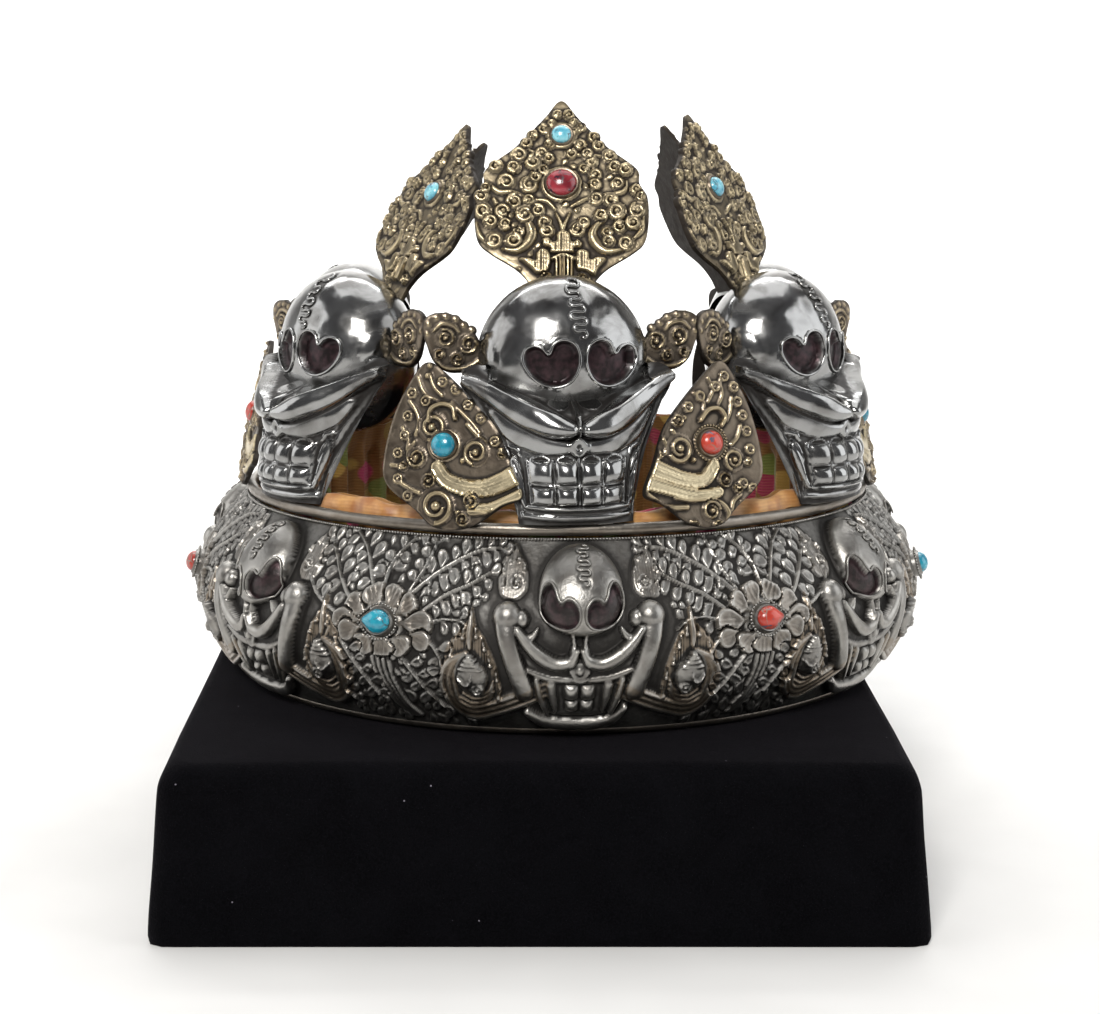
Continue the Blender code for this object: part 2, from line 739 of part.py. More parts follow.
def build_skull_mesh(guides):
    """One skull plaque: hammered dome and face in one shell, open at the back."""
    joined = bpy.data.collections.new("skull_joined")
    cut = bpy.data.collections.new("skull_cut")
    guides.children.link(joined)
    guides.children.link(cut)

    skull = dome_object(0.0, 12, 8, "skull_shape", guides)
    make_guide(face_loft(0.0, 0.0, "skull_face", joined))
    for side in (-1, 1):
        ridge_tube(side, 0.0, f"skull_ridge_{side}", joined)
    for row, (low, high) in enumerate(TOOTH_ROWS):
        for column in (-0.5, 0.5):
            front = -min(y for _, y in face_ring((low + high) / 2, 0.0, 0.0))
            bm = bmesh.new()
            bmesh.ops.create_cube(bm, size=1.0)
            for vertex in bm.verts:
                x, y, z = vertex.co
                vertex.co.x = (column + x * TOOTH_FILL) * 2 * TOOTH_WIDTH
                curve = abs(vertex.co.x) * TOOTH_ROW_CURVE
                vertex.co.y = (y - TOOTH_SINK_SHARE) * 2 * TOOTH_RISE + curve - front
                vertex.co.z = SKULL_FOOT + FACE_TALL * (low if z < 0 else high)
            make_guide(object_from(bm, f"skull_tooth_{row}_{column}", joined))
    boolean(skull, joined, "UNION")

    make_guide(dome_object(-SKULL_WALL, 8, 6, "skull_dome_hollow", cut))
    make_guide(face_loft(SKULL_WALL, 4 * SKULL_WALL, "skull_face_hollow", cut))
    for side in (-1, 1):
        x = side * SOCKET_SPREAD / 2
        front = DOME_SEAT_RADIUS + DOME_DEPTH / 2 * math.sqrt(1.0 - (2 * x / DOME_WIDTH) ** 2)
        bm = bmesh.new()
        bmesh.ops.create_uvsphere(bm, u_segments=6, v_segments=4, radius=1.0)
        for vertex in bm.verts:
            vertex.co.x = x + vertex.co.x * SOCKET_WIDTH / 2
            vertex.co.y = vertex.co.y * SOCKET_DEPTH - front + side * (vertex.co.x - x) * SOCKET_TURN
            vertex.co.z = DOME_CENTRE_HEIGHT + vertex.co.z * SOCKET_TALL / 2
        make_guide(object_from(bm, f"skull_socket_{side}", cut))
    bm = bmesh.new()
    bmesh.ops.create_cube(bm, size=1.0)
    opening = DOME_SEAT_RADIUS - DOME_OPENING
    for vertex in bm.verts:
        vertex.co.x *= DOME_WIDTH * 1.2
        vertex.co.y = -opening if vertex.co.y < 0 else -opening + DOME_DEPTH
        vertex.co.z = DOME_CENTRE_HEIGHT + vertex.co.z * DOME_TALL * 1.2
    make_guide(object_from(bm, "skull_back_cut", cut))
    boolean(skull, cut, "DIFFERENCE")
    settled = settle(skull, "skull_shape", guides)
    return make_guide(settled)


def skull_frame(steps, turn):
    """Place of a skull: round the ring, then turned about its own dome."""
    ring = Matrix.Rotation(steps * SKULL_SPACING, 4, "Z")
    hub = Matrix.Translation((0.0, -DOME_SEAT_RADIUS, 0.0))
    lift = Matrix.Translation((SKULL_SHIFT_X, 0.0, CROWN_BASE))
    return lift @ ring @ hub @ Matrix.Rotation(turn, 4, "Z") @ hub.inverted()


def clearance_shapes(guides):
    """Dome, face and ridges a little larger, used to cope whatever stands against a skull."""
    dome = make_guide(dome_object(SEAT_GAP, 12, 8, "dome_clearance", guides))
    face = make_guide(face_loft(-COPE_GAP, 2 * SEAT_GAP, "face_clearance", guides))
    ridges = [ridge_tube(side, 2 * SEAT_GAP, f"ridge_clearance_{side}", guides) for side in (-1, 1)]
    return [dome, face] + ridges


def placed_copy(source, frame, name, collection):
    obj = bpy.data.objects.new(name, source.data)
    obj.matrix_world = frame
    collection.objects.link(obj)
    return obj


def cope(piece, shapes, frame, name, guides):
    """Cut a piece clear of a skull's dome and face."""
    for shape in shapes:
        copy = make_guide(placed_copy(shape, frame, f"{name}_{shape.name}", guides))
        boolean(piece, copy, "DIFFERENCE")


def build_finial(name, size, stand, stones, frame, shapes, guides, pieces, materials):
    """Pierced-looking gilt plate on a stem, leaning in over the dome."""
    length, width = size
    half = [(x * width / 2, y * length) for x, y in FINIAL_OUTLINE]
    outline = half + [(-x, y) for x, y in reversed(half[:-1])]
    plate = plate_object(name, outline, PLATE_THICKNESS, pieces)
    raised = bpy.data.collections.new(name + "_raised")
    seats = bpy.data.collections.new(name + "_seats")
    guides.children.link(raised)
    guides.children.link(seats)
    ring, lean, reach = stand
    foot = Matrix.Translation((0.0, -reach * DOME_SEAT_RADIUS, FINIAL_FOOT))
    stand_up = ring @ foot @ Matrix.Rotation(math.pi / 2 - math.radians(lean), 4, "X")
    for row, (x, y, radius) in enumerate(FINIAL_BOSSES):
        for side in ((-1, 1) if x else (1,)):
            bm = bmesh.new()
            add_boss(bm, side * x * width / 2, y * length, radius * width)
            make_guide(object_from(bm, f"{name}_boss_{row}_{side}", raised))
    for tag, stone_size, share, colour in stones:
        spot = Matrix.Translation((0.0, share * length, PLATE_THICKNESS))
        bezel_object(f"{name}_bezel_{tag}", stone_size[0], stone_size[1], spot, raised)
        seat_spot = spot @ Matrix.Translation((0.0, 0.0, SEAT_GAP))
        stone = set_stone(f"stone_{name}_{tag}", stone_size, seat_spot, pieces, seats, materials[colour])
        stone.matrix_world = stand_up
    boolean(plate, raised, "UNION")
    boolean(plate, seats, "DIFFERENCE")
    plate = settle(plate, name, pieces)
    plate.data.transform(stand_up)
    cope(plate, shapes[:1], frame, name, guides)
    return finish(settle(plate, name, pieces), materials["gilt"])


def build_leaf(place, skulls, shapes, guides, pieces, materials):
    """Pointed leaf plate standing on the rim, its ribbon towards the nearer jaw."""
    tag, azimuth, turn, side, share, colour = place
    name = "leaf_" + tag
    half = LEAF_WIDTH / 2 * share
    outline = [(side * x * half, y * LEAF_HEIGHT) for x, y in LEAF_OUTLINE]
    plate = plate_object(name, outline, PLATE_THICKNESS, pieces)
    raised = bpy.data.collections.new(name + "_raised")
    seats = bpy.data.collections.new(name + "_seats")
    guides.children.link(raised)
    guides.children.link(seats)
    spot = Matrix.Translation((0.0, LEAF_HEIGHT * LEAF_STONE_SHARE, PLATE_THICKNESS))
    size = (PLATE_STONE_LENGTH, PLATE_STONE_WIDTH, PLATE_STONE_RISE)
    bezel_object(name + "_bezel", size[0], size[1], spot, raised)
    seat_spot = spot @ Matrix.Translation((0.0, 0.0, SEAT_GAP))
    stone = set_stone("stone_" + name, size, seat_spot, pieces, seats, materials[colour])
    for row, (x, y, radius) in enumerate(LEAF_BOSSES):
        bm = bmesh.new()
        add_boss(bm, side * x * half, y * LEAF_HEIGHT, radius * half)
        make_guide(object_from(bm, f"{name}_boss_{row}", raised))
    boolean(plate, raised, "UNION")
    boolean(plate, seats, "DIFFERENCE")
    plate = settle(plate, name, pieces)
    reach = RIM_RADIUS + (RIM_ROLL_THICKNESS / 2 + SEAT_GAP) / math.cos(LEAF_LEAN)
    reach += (RIM_HEIGHT - LEAF_BASE_HEIGHT) * math.tan(LEAF_LEAN)
    reach += half * LEAF_FOOT_SHARE * abs(math.sin(math.radians(turn)))
    around = Matrix.Rotation(math.radians(azimuth), 4, "Z") @ Matrix.Translation((0.0, -reach, 0.0))
    lift = Matrix.Translation((0.0, 0.0, CROWN_BASE + LEAF_BASE_HEIGHT))
    tilt = Matrix.Rotation(math.radians(turn), 4, "Z") @ Matrix.Rotation(math.pi / 2 - LEAF_LEAN, 4, "X")
    stand_up = lift @ around @ tilt
    plate.data.transform(stand_up)
    stone.matrix_world = stand_up
    for skull_name, frame in skulls:
        cope(plate, shapes, frame, f"{name}_{skull_name}", guides)
    return finish(settle(plate, name, pieces), materials["gilt"])


def build_ear(name, side, frame, shapes, guides, pieces, materials):
    """Curled ear scroll, its root against the temple of a dome."""
    outline = [(side * x * EAR_LENGTH, y * EAR_WIDTH / 2) for x, y in EAR_OUTLINE]
    plate = plate_object(name, outline, PLATE_THICKNESS, pieces)
    bm = bmesh.new()
    add_boss(bm, side * EAR_LENGTH * EAR_CURL_REACH, 0.0, EAR_WIDTH * EAR_CURL_SHARE)
    curl = make_guide(object_from(bm, name + "_curl", guides))
    boolean(plate, curl, "UNION")
    plate = settle(plate, name, pieces)
    root = Matrix.Translation((side * DOME_WIDTH / 2, -DOME_SEAT_RADIUS, EAR_HEIGHT))
    plate.data.transform(frame @ root @ Matrix.Rotation(math.pi / 2, 4, "X"))
    cope(plate, shapes[:1], frame, name, guides)
    return finish(settle(plate, name, pieces), materials["gilt"])


def build_lining(pieces, materials):
    """Gathered cloth ring inside the band, its top edge leaning in above the rim."""
    bm = bmesh.new()
    count = LINING_FOLDS * 2
    loops = []
    for share, lean in LINING_ROWS:
        loop = []
        for k in range(count):
            angle = 2 * math.pi * k / count
            top = LINING_FRONT_TOP + (LINING_BACK_TOP - LINING_FRONT_TOP) * (1 - math.cos(angle)) / 2
            height = SEAT_GAP + (top - SEAT_GAP) * share
            fold = LINING_FOLD_DEPTH * (1 if k % 2 else -1)
            radius = LINING_RIM_RADIUS + fold - LINING_TOP_LEAN * lean
            loop.append(bm.verts.new((radius * math.sin(angle), -radius * math.cos(angle), height)))
        loops.append(loop)
    for low, high in zip(loops, loops[1:]):
        for k in range(count):
            bm.faces.new((low[k], low[(k + 1) % count], high[(k + 1) % count], high[k]))
    lining = object_from(bm, "lining", pieces)
    solid = lining.modifiers.new("cloth", "SOLIDIFY")
    solid.thickness = LINING_WALL
    solid.offset = 0.0
    solid.use_even_offset = False
    lining.location = (0.0, 0.0, CROWN_BASE)
    return finish(lining, materials["lining_silk"], math.radians(60.0))


def build_stand(pieces, materials):
    """Velvet-covered block, wider at the back and at its foot, rounded along the top."""
    bm = bmesh.new()
    bmesh.ops.create_cube(bm, size=1.0)
    for vertex in bm.verts:
        front = vertex.co.y < 0
        width = STAND_FRONT_WIDTH if front else STAND_BACK_WIDTH
        middle = STAND_FRONT_SHIFT_X if front else STAND_BACK_SHIFT_X
        taper = STAND_TAPER if vertex.co.z > 0 else 0.0
        vertex.co.x = middle + math.copysign(width / 2 - taper, vertex.co.x)
        vertex.co.y = -STAND_FRONT_REACH + taper / 2 if front else STAND_BACK_REACH - taper / 2
        vertex.co.z = STAND_HEIGHT if vertex.co.z > 0 else 0.0
    top_front = [edge for edge in bm.edges
                 if all(v.co.z > STAND_HEIGHT / 2 and v.co.y < 0 for v in edge.verts)]
    bmesh.ops.bevel(bm, geom=top_front, offset=STAND_FRONT_ROUND, offset_type="OFFSET", segments=4,
                    profile=0.5, affect="EDGES")
    weights = bm.edges.layers.float.new("bevel_weight_edge")
    for edge in bm.edges:
        if edge.calc_face_angle() > math.radians(50.0):
            at_foot = all(v.co.z < STAND_HEIGHT / 2 for v in edge.verts)
            edge[weights] = STAND_FOOT_ROUND_SHARE if at_foot else 1.0
    stand = object_from(bm, "velvet_stand", pieces)
    rounding = stand.modifiers.new("rounding", "BEVEL")
    rounding.width = STAND_SIDE_ROUND
    rounding.segments = 2
    rounding.limit_method = "WEIGHT"
    return finish(stand, materials["velvet"])


def build_crown():
    clear_scene()
    pieces = new_collection("oracle_crown")
    guides = new_collection("guides")
    materials = make_materials()

    build_stand(pieces, materials)
    build_band(pieces, guides, materials)
    build_lining(pieces, materials)

    shape = build_skull_mesh(guides)
    shapes = clearance_shapes(guides)
    skulls = []
    for name, steps, turn, lean, reach in SKULL_PLACES:
        frame = skull_frame(steps, math.radians(turn))
        finish(placed_copy(shape, frame, "skull_" + name, pieces), materials["bright_silver"])
        skulls.append((name, frame))
        small = (PLATE_STONE_LENGTH, PLATE_STONE_WIDTH, PLATE_STONE_RISE)
        large = (CENTRE_STONE_LENGTH, CENTRE_STONE_WIDTH, CENTRE_STONE_RISE)
        if name == "front":
            size = (FINIAL_FRONT_LENGTH, FINIAL_FRONT_WIDTH)
            stones = (("upper", small, 0.83, "turquoise"), ("centre", large, 0.60, "coral"))
        else:
            size = (FINIAL_SIDE_LENGTH, FINIAL_SIDE_WIDTH)
            stones = (("centre", small, 0.62, "turquoise"),)
        stand = (skull_frame(steps, 0.0), lean, reach)
        build_finial("finial_" + name, size, stand, stones, frame, shapes, guides, pieces, materials)
        for side, word in ((-1, "left"), (1, "right")):
            build_ear(f"ear_scroll_{name}_{word}", side, frame, shapes, guides, pieces, materials)
    for place in LEAF_PLACES:
        build_leaf(place, skulls, shapes, guides, pieces, materials)


build_crown()
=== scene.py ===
# Looks of the oracle crown on its velvet display block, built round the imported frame.
# Lengths are millimetres in the code and metres in the meshes.
import math

import bpy
import numpy as np
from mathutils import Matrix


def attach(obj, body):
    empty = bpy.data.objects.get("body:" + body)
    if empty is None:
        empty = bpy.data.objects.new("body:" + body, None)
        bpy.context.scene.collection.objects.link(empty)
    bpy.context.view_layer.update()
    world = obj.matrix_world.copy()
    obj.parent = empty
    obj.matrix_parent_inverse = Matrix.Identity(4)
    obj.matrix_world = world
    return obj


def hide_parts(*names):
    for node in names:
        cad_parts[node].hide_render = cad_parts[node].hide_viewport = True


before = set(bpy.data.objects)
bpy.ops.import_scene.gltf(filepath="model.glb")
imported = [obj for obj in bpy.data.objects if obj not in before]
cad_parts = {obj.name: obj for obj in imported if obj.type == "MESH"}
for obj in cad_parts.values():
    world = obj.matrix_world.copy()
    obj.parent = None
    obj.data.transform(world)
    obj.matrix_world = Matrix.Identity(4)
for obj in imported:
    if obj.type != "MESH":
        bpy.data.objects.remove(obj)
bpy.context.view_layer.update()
mm = 0.001
rng = np.random.default_rng(11)
print("frame loaded")


# Small tools

def linear(hexColour):  # sRGB hex to linear RGBA
    parts = [int(hexColour[k:k + 2], 16) / 255 for k in (0, 2, 4)]
    return tuple(p / 12.92 if p <= 0.04045 else ((p + 0.055) / 1.055) ** 2.4 for p in parts) + (1.0,)


def addNode(tree, kind, settings=None, links=None):  # links: socket name or index -> socket or value
    made = tree.nodes.new(kind)
    for key, value in (settings or {}).items():
        setattr(made, key, value)
    for key, source in (links or {}).items():
        if isinstance(source, bpy.types.NodeSocket):
            tree.links.new(source, made.inputs[key])
        else:
            made.inputs[key].default_value = source
    return made


def shift(x, y, z):
    made = np.eye(4)
    made[:3, 3] = (x, y, z)
    return made


def turn(axis, degrees):
    c, s = math.cos(math.radians(degrees)), math.sin(math.radians(degrees))
    made = np.eye(4)
    a, b = {"X": (1, 2), "Y": (2, 0), "Z": (0, 1)}[axis]
    made[a, a] = made[b, b] = c
    made[a, b], made[b, a] = -s, s
    return made


def placed(matrix, points):
    return np.asarray(points, float) @ matrix[:3, :3].T + matrix[:3, 3]


def smooth(t):
    t = np.clip(t, 0.0, 1.0)
    return t * t * (3 - 2 * t)


def blur(values, steps):  # box blur of a 2-D array, twice over
    for axis in (0, 1, 0, 1):
        size = values.shape[axis]
        half = min(steps, (size - 1) // 2)
        if half < 1:
            continue
        pad = [(0, 0), (0, 0)]
        pad[axis] = (half + 1, half)
        total = np.cumsum(np.pad(values, pad, mode="edge"), axis=axis)
        width = 2 * half + 1
        top = np.take(total, range(width, width + size), axis=axis)
        values = (top - np.take(total, range(size), axis=axis)) / width
    return values


def flowing(points, count=8, closed=False):  # Catmull-Rom curve through points of any width
    pts = np.asarray(points, float)
    if closed:
        ext = np.vstack([pts[-1], pts, pts[:2]])
    else:
        ext = np.vstack([2 * pts[0] - pts[1], pts, 2 * pts[-1] - pts[-2]])
    out = []
    for k in range(len(ext) - 3):
        a, b, c, d = ext[k:k + 4]
        for t in np.arange(count) / count:
            out.append(0.5 * (2 * b + (c - a) * t + (2 * a - 5 * b + 4 * c - d) * t ** 2
                              + (3 * b - a - 3 * c + d) * t ** 3))
    if not closed:
        out.append(pts[-1])
    return np.array(out)


def meshPiece(name, points, quads, tris=(), material=None, values=None, sharpAngle=50.0, uv=None, loops=()):
    # points in mm; values: attribute name -> one number a point; uv: two numbers a point; loops: larger faces
    mesh = bpy.data.meshes.new(name)
    quads = np.asarray(quads, int)
    tris = np.asarray(tris, int).reshape(-1, 3)
    corners = np.concatenate([quads.ravel(), tris.ravel()])
    starts = np.concatenate([np.arange(len(quads)) * 4, len(quads) * 4 + np.arange(len(tris)) * 3])
    for loop in loops:
        starts = np.append(starts, len(corners))
        corners = np.concatenate([corners, loop])
    mesh.vertices.add(len(points))
    mesh.vertices.foreach_set("co", (np.asarray(points, float) * mm).ravel())
    mesh.loops.add(len(corners))
    mesh.loops.foreach_set("vertex_index", corners.astype(np.int32))
    mesh.polygons.add(len(starts))
    mesh.polygons.foreach_set("loop_start", starts.astype(np.int32))
    mesh.update(calc_edges=True)
    mesh.validate()
    for key, value in (values or {}).items():
        layer = mesh.attributes.new(key, "FLOAT", "POINT")
        layer.data.foreach_set("value", np.asarray(value, np.float32).ravel())
    if uv is not None:
        layer = mesh.uv_layers.new(name="sewn")
        layer.data.foreach_set("uv", np.asarray(uv, np.float32)[corners].ravel())
    mesh.shade_smooth()
    mesh.set_sharp_from_angle(angle=math.radians(sharpAngle))
    obj = bpy.data.objects.new(name, mesh)
    bpy.context.scene.collection.objects.link(obj)
    if material:
        mesh.materials.append(material)
    return obj


def gridQuads(rows, columns, start=0, closed=False, flip=False, around=False):
    # closed joins the last column to the first, around the last row to the first
    r, c = np.meshgrid(np.arange(rows if around else rows - 1),
                       np.arange(columns if closed else columns - 1),
                       indexing="ij")
    nextR, nextC = (r + 1) % rows, (c + 1) % columns
    quads = np.stack([r * columns + c, r * columns + nextC, nextR * columns + nextC, nextR * columns + c],
                     -1)
    quads = quads.reshape(-1, 4) + start
    return quads[:, ::-1] if flip else quads


def finishPiece(obj, nodes=()):
    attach(obj, "root")
    if nodes:
        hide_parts(*nodes)
    return obj


# Relief: heights stamped on a sheet's drawing
# A sheet is a dictionary of flat arrays: x and y (the drawing, mm), h (height, mm), warm and dark (0 to 1)
# and taken (no more leaves there). It also holds the net's shape and, for an even net, its lines.

def newSheet(x, y):
    return {"x": x.ravel(), "y": y.ravel(), "h": np.zeros(x.size), "warm": np.zeros(x.size),
            "dark": np.zeros(x.size), "taken": np.zeros(x.size, bool), "shape": x.shape, "net": None}


def window(sheet, path, reach):
    path = np.asarray(path)
    if sheet["net"]:  # an even net is searched by its lines
        s, z = sheet["net"]
        c0, c1 = np.searchsorted(s, (path[:, 0].min() - reach, path[:, 0].max() + reach))
        r0, r1 = np.searchsorted(z, (path[:, 1].min() - reach, path[:, 1].max() + reach))
        return (np.arange(r0, r1)[:, None] * len(s) + np.arange(c0, c1)).ravel()
    x, y = sheet["x"], sheet["y"]
    return np.flatnonzero((x > path[:, 0].min() - reach) & (x < path[:, 0].max() + reach)
                          & (y > path[:, 1].min() - reach) & (y < path[:, 1].max() + reach))


def lay(sheet, spots, heights, blend, inside, warm=0.0):
    old = sheet["h"][spots]
    if blend == "add":
        sheet["h"][spots] = old + heights
    elif blend == "cut":
        sheet["h"][spots] = old - heights
    else:
        sheet["h"][spots] = np.maximum(old, heights)
    if warm:
        old = sheet["warm"][spots]
        sheet["warm"][spots] = np.where(inside, np.maximum(old, warm), old)


def alongPath(px, py, path):  # distance from a path of (x, y, half width), in half widths
    best = np.full(len(px), 9e9)
    for (ax, ay, aw), (bx, by, bw) in zip(path[:-1], path[1:]):
        dx, dy = bx - ax, by - ay
        t = np.clip(((px - ax) * dx + (py - ay) * dy) / (dx * dx + dy * dy + 1e-9), 0.0, 1.0)
        best = np.minimum(best, np.hypot(px - ax - t * dx, py - ay - t * dy) / (aw + (bw - aw) * t))
    return best


def stroke(sheet, points, height, width=None, blend="max", warm=0.0, base=0.0, count=5, flat=0.5,
           closed=False):
    # rounded ridge along points of (x, y) or (x, y, half width)
    pts = [tuple(p) if len(p) == 3 else (p[0], p[1], width) for p in points]
    path = flowing(pts, count, closed) if count > 1 else np.array(pts)
    if closed:
        path = np.vstack([path, path[:1]])
    spots = window(sheet, path, path[:, 2].max())
    if not len(spots):
        return
    d = alongPath(sheet["x"][spots], sheet["y"][spots], path)
    inside = d < 1.0
    heights = np.where(inside, base + height * np.clip(1 - d * d, 0, 1) ** flat, 0.0)
    if height > 1.8:  # a steep wall is drawn out over two cells of the net
        heights = heights * smooth((1 - d) / 0.22)
    lay(sheet, spots, heights, blend, inside, warm)


def boss(sheet, x, y, rx, ry, height, blend="max", power=0.5, base=0.0, angle=0.0):  # oval swelling
    spots = window(sheet, [(x, y)], max(rx, ry))
    if not len(spots):
        return
    dx, dy = sheet["x"][spots] - x, sheet["y"][spots] - y
    c, s = math.cos(angle), math.sin(angle)
    q = ((dx * c + dy * s) / rx) ** 2 + ((dy * c - dx * s) / ry) ** 2
    inside = q < 1.0
    wall = smooth((1 - q) / 0.13) if height > 3 else 1.0  # a steep wall is drawn out, as in a stroke
    heights = np.where(inside, base + height * np.clip(1 - q, 0, 1) ** power, 0.0) * wall
    lay(sheet, spots, heights, blend, inside)


def outlineDistance(px, py, outline):  # signed, negative inside
    poly = np.asarray(outline, float)[:, :2]
    best, odd = np.full(len(px), 9e9), np.zeros(len(px), bool)
    for (ax, ay), (bx, by) in zip(poly, np.roll(poly, -1, axis=0)):
        dx, dy = bx - ax, by - ay
        t = np.clip(((px - ax) * dx + (py - ay) * dy) / (dx * dx + dy * dy + 1e-9), 0.0, 1.0)
        best = np.minimum(best, np.hypot(px - ax - t * dx, py - ay - t * dy))
        crossing = (ay > py) != (by > py)
        odd ^= crossing & (px < ax + (py - ay) * dx / (dy if abs(dy) > 1e-9 else 1e-9))
    return np.where(odd, -best, best)


def field(sheet, outline, height, edge=0.8, blend="max", warm=0.0, rim=0.0, rimWidth=0.5, dark=0.0,
          lines=None):
    # flat raised or sunk patch inside an outline, with a rolled rim; lines: (angle, spacing, depth)
    poly = flowing(outline, 5, True)
    spots = window(sheet, poly, rimWidth + 0.2)
    if not len(spots):
        return
    x, y = sheet["x"][spots], sheet["y"][spots]
    d = outlineDistance(x, y, poly)
    body = height * smooth(-d / edge + 0.3)
    if lines:
        angle, spacing, depth = lines
        across = x * math.cos(angle) + y * math.sin(angle)
        body = body - depth * smooth(-d / edge) * (0.5 + 0.5 * np.cos(across / spacing * 2 * math.pi)) ** 2
    lay(sheet, spots, body, blend, d < 0, warm)
    if rim:
        sheet["h"][spots] += rim * np.clip(1 - (d / rimWidth) ** 2, 0, 1)
    if dark:
        sheet["dark"][spots] = np.maximum(sheet["dark"][spots], dark * smooth(-d / 0.6))


def curl(sheet, x, y, radius, height, base, start=0.0, way=1, wide=0.15):
    # scroll seen end on: a thin spiral round a shallow dish, with a ball at its heart
    turns = 1.25
    spots = window(sheet, [(x, y)], radius)
    if not len(spots):
        return
    dx, dy = sheet["x"][spots] - x, sheet["y"][spots] - y
    d = np.hypot(dx, dy) / radius
    angle = ((np.arctan2(dy, dx) * way - start) / (2 * math.pi)) % 1.0
    heights = np.where(d < 1.0, base - 0.12 * height * (1 - d * d), 0.0)
    half = max(wide, 0.36 / radius)
    for lap in range(int(turns) + 1):
        along = angle + lap
        centre = 1.0 - half - (0.62 - half) * along / turns
        ridge = np.clip(1 - ((d - centre) / (half * (1 - 0.25 * along / turns))) ** 2, 0, 1)
        higher = np.maximum(heights, base + 0.6 * height * ridge ** 0.5)
        heights = np.where((along < turns) & (ridge > 0), higher, heights)
    heart = np.clip(1 - (d / max(0.26, 0.55 / radius)) ** 2, 0, 1)
    heights = np.maximum(heights, np.where(heart > 0, base + height * (0.15 + 0.95 * np.sqrt(heart)), 0))
    old = sheet["h"][spots]
    sheet["h"][spots] = np.where(d < 1.0, np.maximum(heights, np.minimum(old, base)), old)
    sheet["taken"][spots] |= d < 1.0


def leaflet(sheet, x, y, angle, length, width, height, hollow=0.3, warm=0.0, lines=6, base=0.0, bend=0.0,
            room=1.0):
    # drop-shaped leaf from its stalk at (x, y): rim raised, middle dished and hatched, a groove round it.
    # It is left out where more than a share of its area, called room, is taken already.
    c, s = math.cos(angle), math.sin(angle)
    tipX, tipY = x + c * length, y + s * length
    spots = window(sheet, [(x, y), (tipX, tipY)], width * (0.6 + abs(bend)) + 0.5)
    if not len(spots):
        return
    dx, dy = sheet["x"][spots] - x, sheet["y"][spots] - y
    u, v = (dx * c + dy * s) / length, (dy * c - dx * s)
    v = v - bend * width * u * u
    reach = np.clip(u, 0.001, 0.999)
    tip = np.sqrt(np.clip(1 - ((reach - 0.64) / 0.36) ** 2, 0, 1))
    half = width / 2 * np.where(reach > 0.64, tip, 0.14 + 0.86 * smooth(reach / 0.64)) + 0.02
    q = np.abs(v) / half
    inside = (q < 1) & (u > 0) & (u < 1)
    if room < 1.0 and (not inside.any() or sheet["taken"][spots][inside].mean() > room):
        return
    edge = np.minimum(half * (1 - q), (1 - reach) * length)
    rise = np.clip(edge / 0.6, 0, 1) ** 0.6 * (0.5 + 0.5 * reach)
    dip = hollow * smooth((edge - 0.5) / (0.30 * width)) * np.clip((reach - 0.1) * 3, 0, 1)
    hatch = 0.05 * np.cos(v / width * lines * 2 * math.pi + u * 2.0) * np.clip(1 - q, 0, 1)
    heights = base + height * np.clip(rise - dip + hatch, 0.0, 2.0)
    groove = ~inside & (np.abs(v) < half + 0.45) & (u > 0.3) & (u < 1 + 0.45 / length)
    old = sheet["h"][spots]
    outside = np.where(groove, np.minimum(old, max(base, 0.1)), old)
    sheet["h"][spots] = np.where(inside, heights, outside)
    sheet["taken"][spots] |= inside
    if warm:
        sheet["warm"][spots] = np.where(inside, warm, sheet["warm"][spots])


def bead(sheet, x, y, radius, height, tail, base):  # drop-headed dot with a tail
    stroke(sheet, [(x, y, radius * 0.55), (x + tail[0] * 0.5, y + tail[1] * 0.6, radius * 0.5),
                   (x + tail[0], y + tail[1], radius * 0.2)], height * 0.6, base=base, count=3)
    boss(sheet, x, y, radius, radius, height, base=base)


def recessOf(heights, cover=None):
    # 0 on rubbed crests, 0.22 on level metal, towards 1 in creases and hollows; cover marks the spots in use
    def around(steps):
        if cover is None:
            return blur(heights, steps)
        return blur(heights, steps) / np.maximum(blur(cover.astype(float), steps), 0.05)
    near, far = around(2), around(8)
    crest = np.clip((heights - near) / 0.35, 0, 1)
    creases = np.clip((near - heights) / 0.55, 0, 0.6)
    hollows = np.clip((far - heights) / 3.0, 0, 0.35)
    return np.clip(0.22 - 0.22 * crest + creases + hollows, 0, 1)


# Finishes

def newFinish(name, settings=None):  # settings: socket of the shader -> value
    made = bpy.data.materials.new(name)
    made.use_nodes = True
    shader = made.node_tree.nodes["Principled BSDF"]
    for key, value in (settings or {}).items():
        shader.inputs[key].default_value = value
    return made, made.node_tree, shader


def feed(tree, shader, **sources):  # links what gives the colour, roughness or metallic of a finish
    for key, source in sources.items():
        tree.links.new(source, shader.inputs[{"colour": "Base Color"}.get(key, key.capitalize())])


def objectCoords(tree):
    return addNode(tree, "ShaderNodeTexCoord").outputs["Object"]


def noiseOf(tree, sizeMm, detail=3.0, roughness=0.5, distortion=0.0):  # size of one blotch in mm
    return addNode(tree, "ShaderNodeTexNoise", {},
                   {"Vector": objectCoords(tree), "Scale": 1 / (sizeMm * mm), "Detail": detail,
                    "Roughness": roughness, "Distortion": distortion}).outputs["Fac"]


def ranged(tree, value, low, high, toLow=0.0, toHigh=1.0, kind="LINEAR"):
    return addNode(tree, "ShaderNodeMapRange", {"interpolation_type": kind},
                   {0: value, 1: low, 2: high, 3: toLow, 4: toHigh}).outputs[0]


def mixed(tree, factor, first, second, blend="MIX"):
    return addNode(tree, "ShaderNodeMix", {"data_type": "RGBA", "blend_type": blend},
                   {0: factor, 6: first, 7: second}).outputs[2]


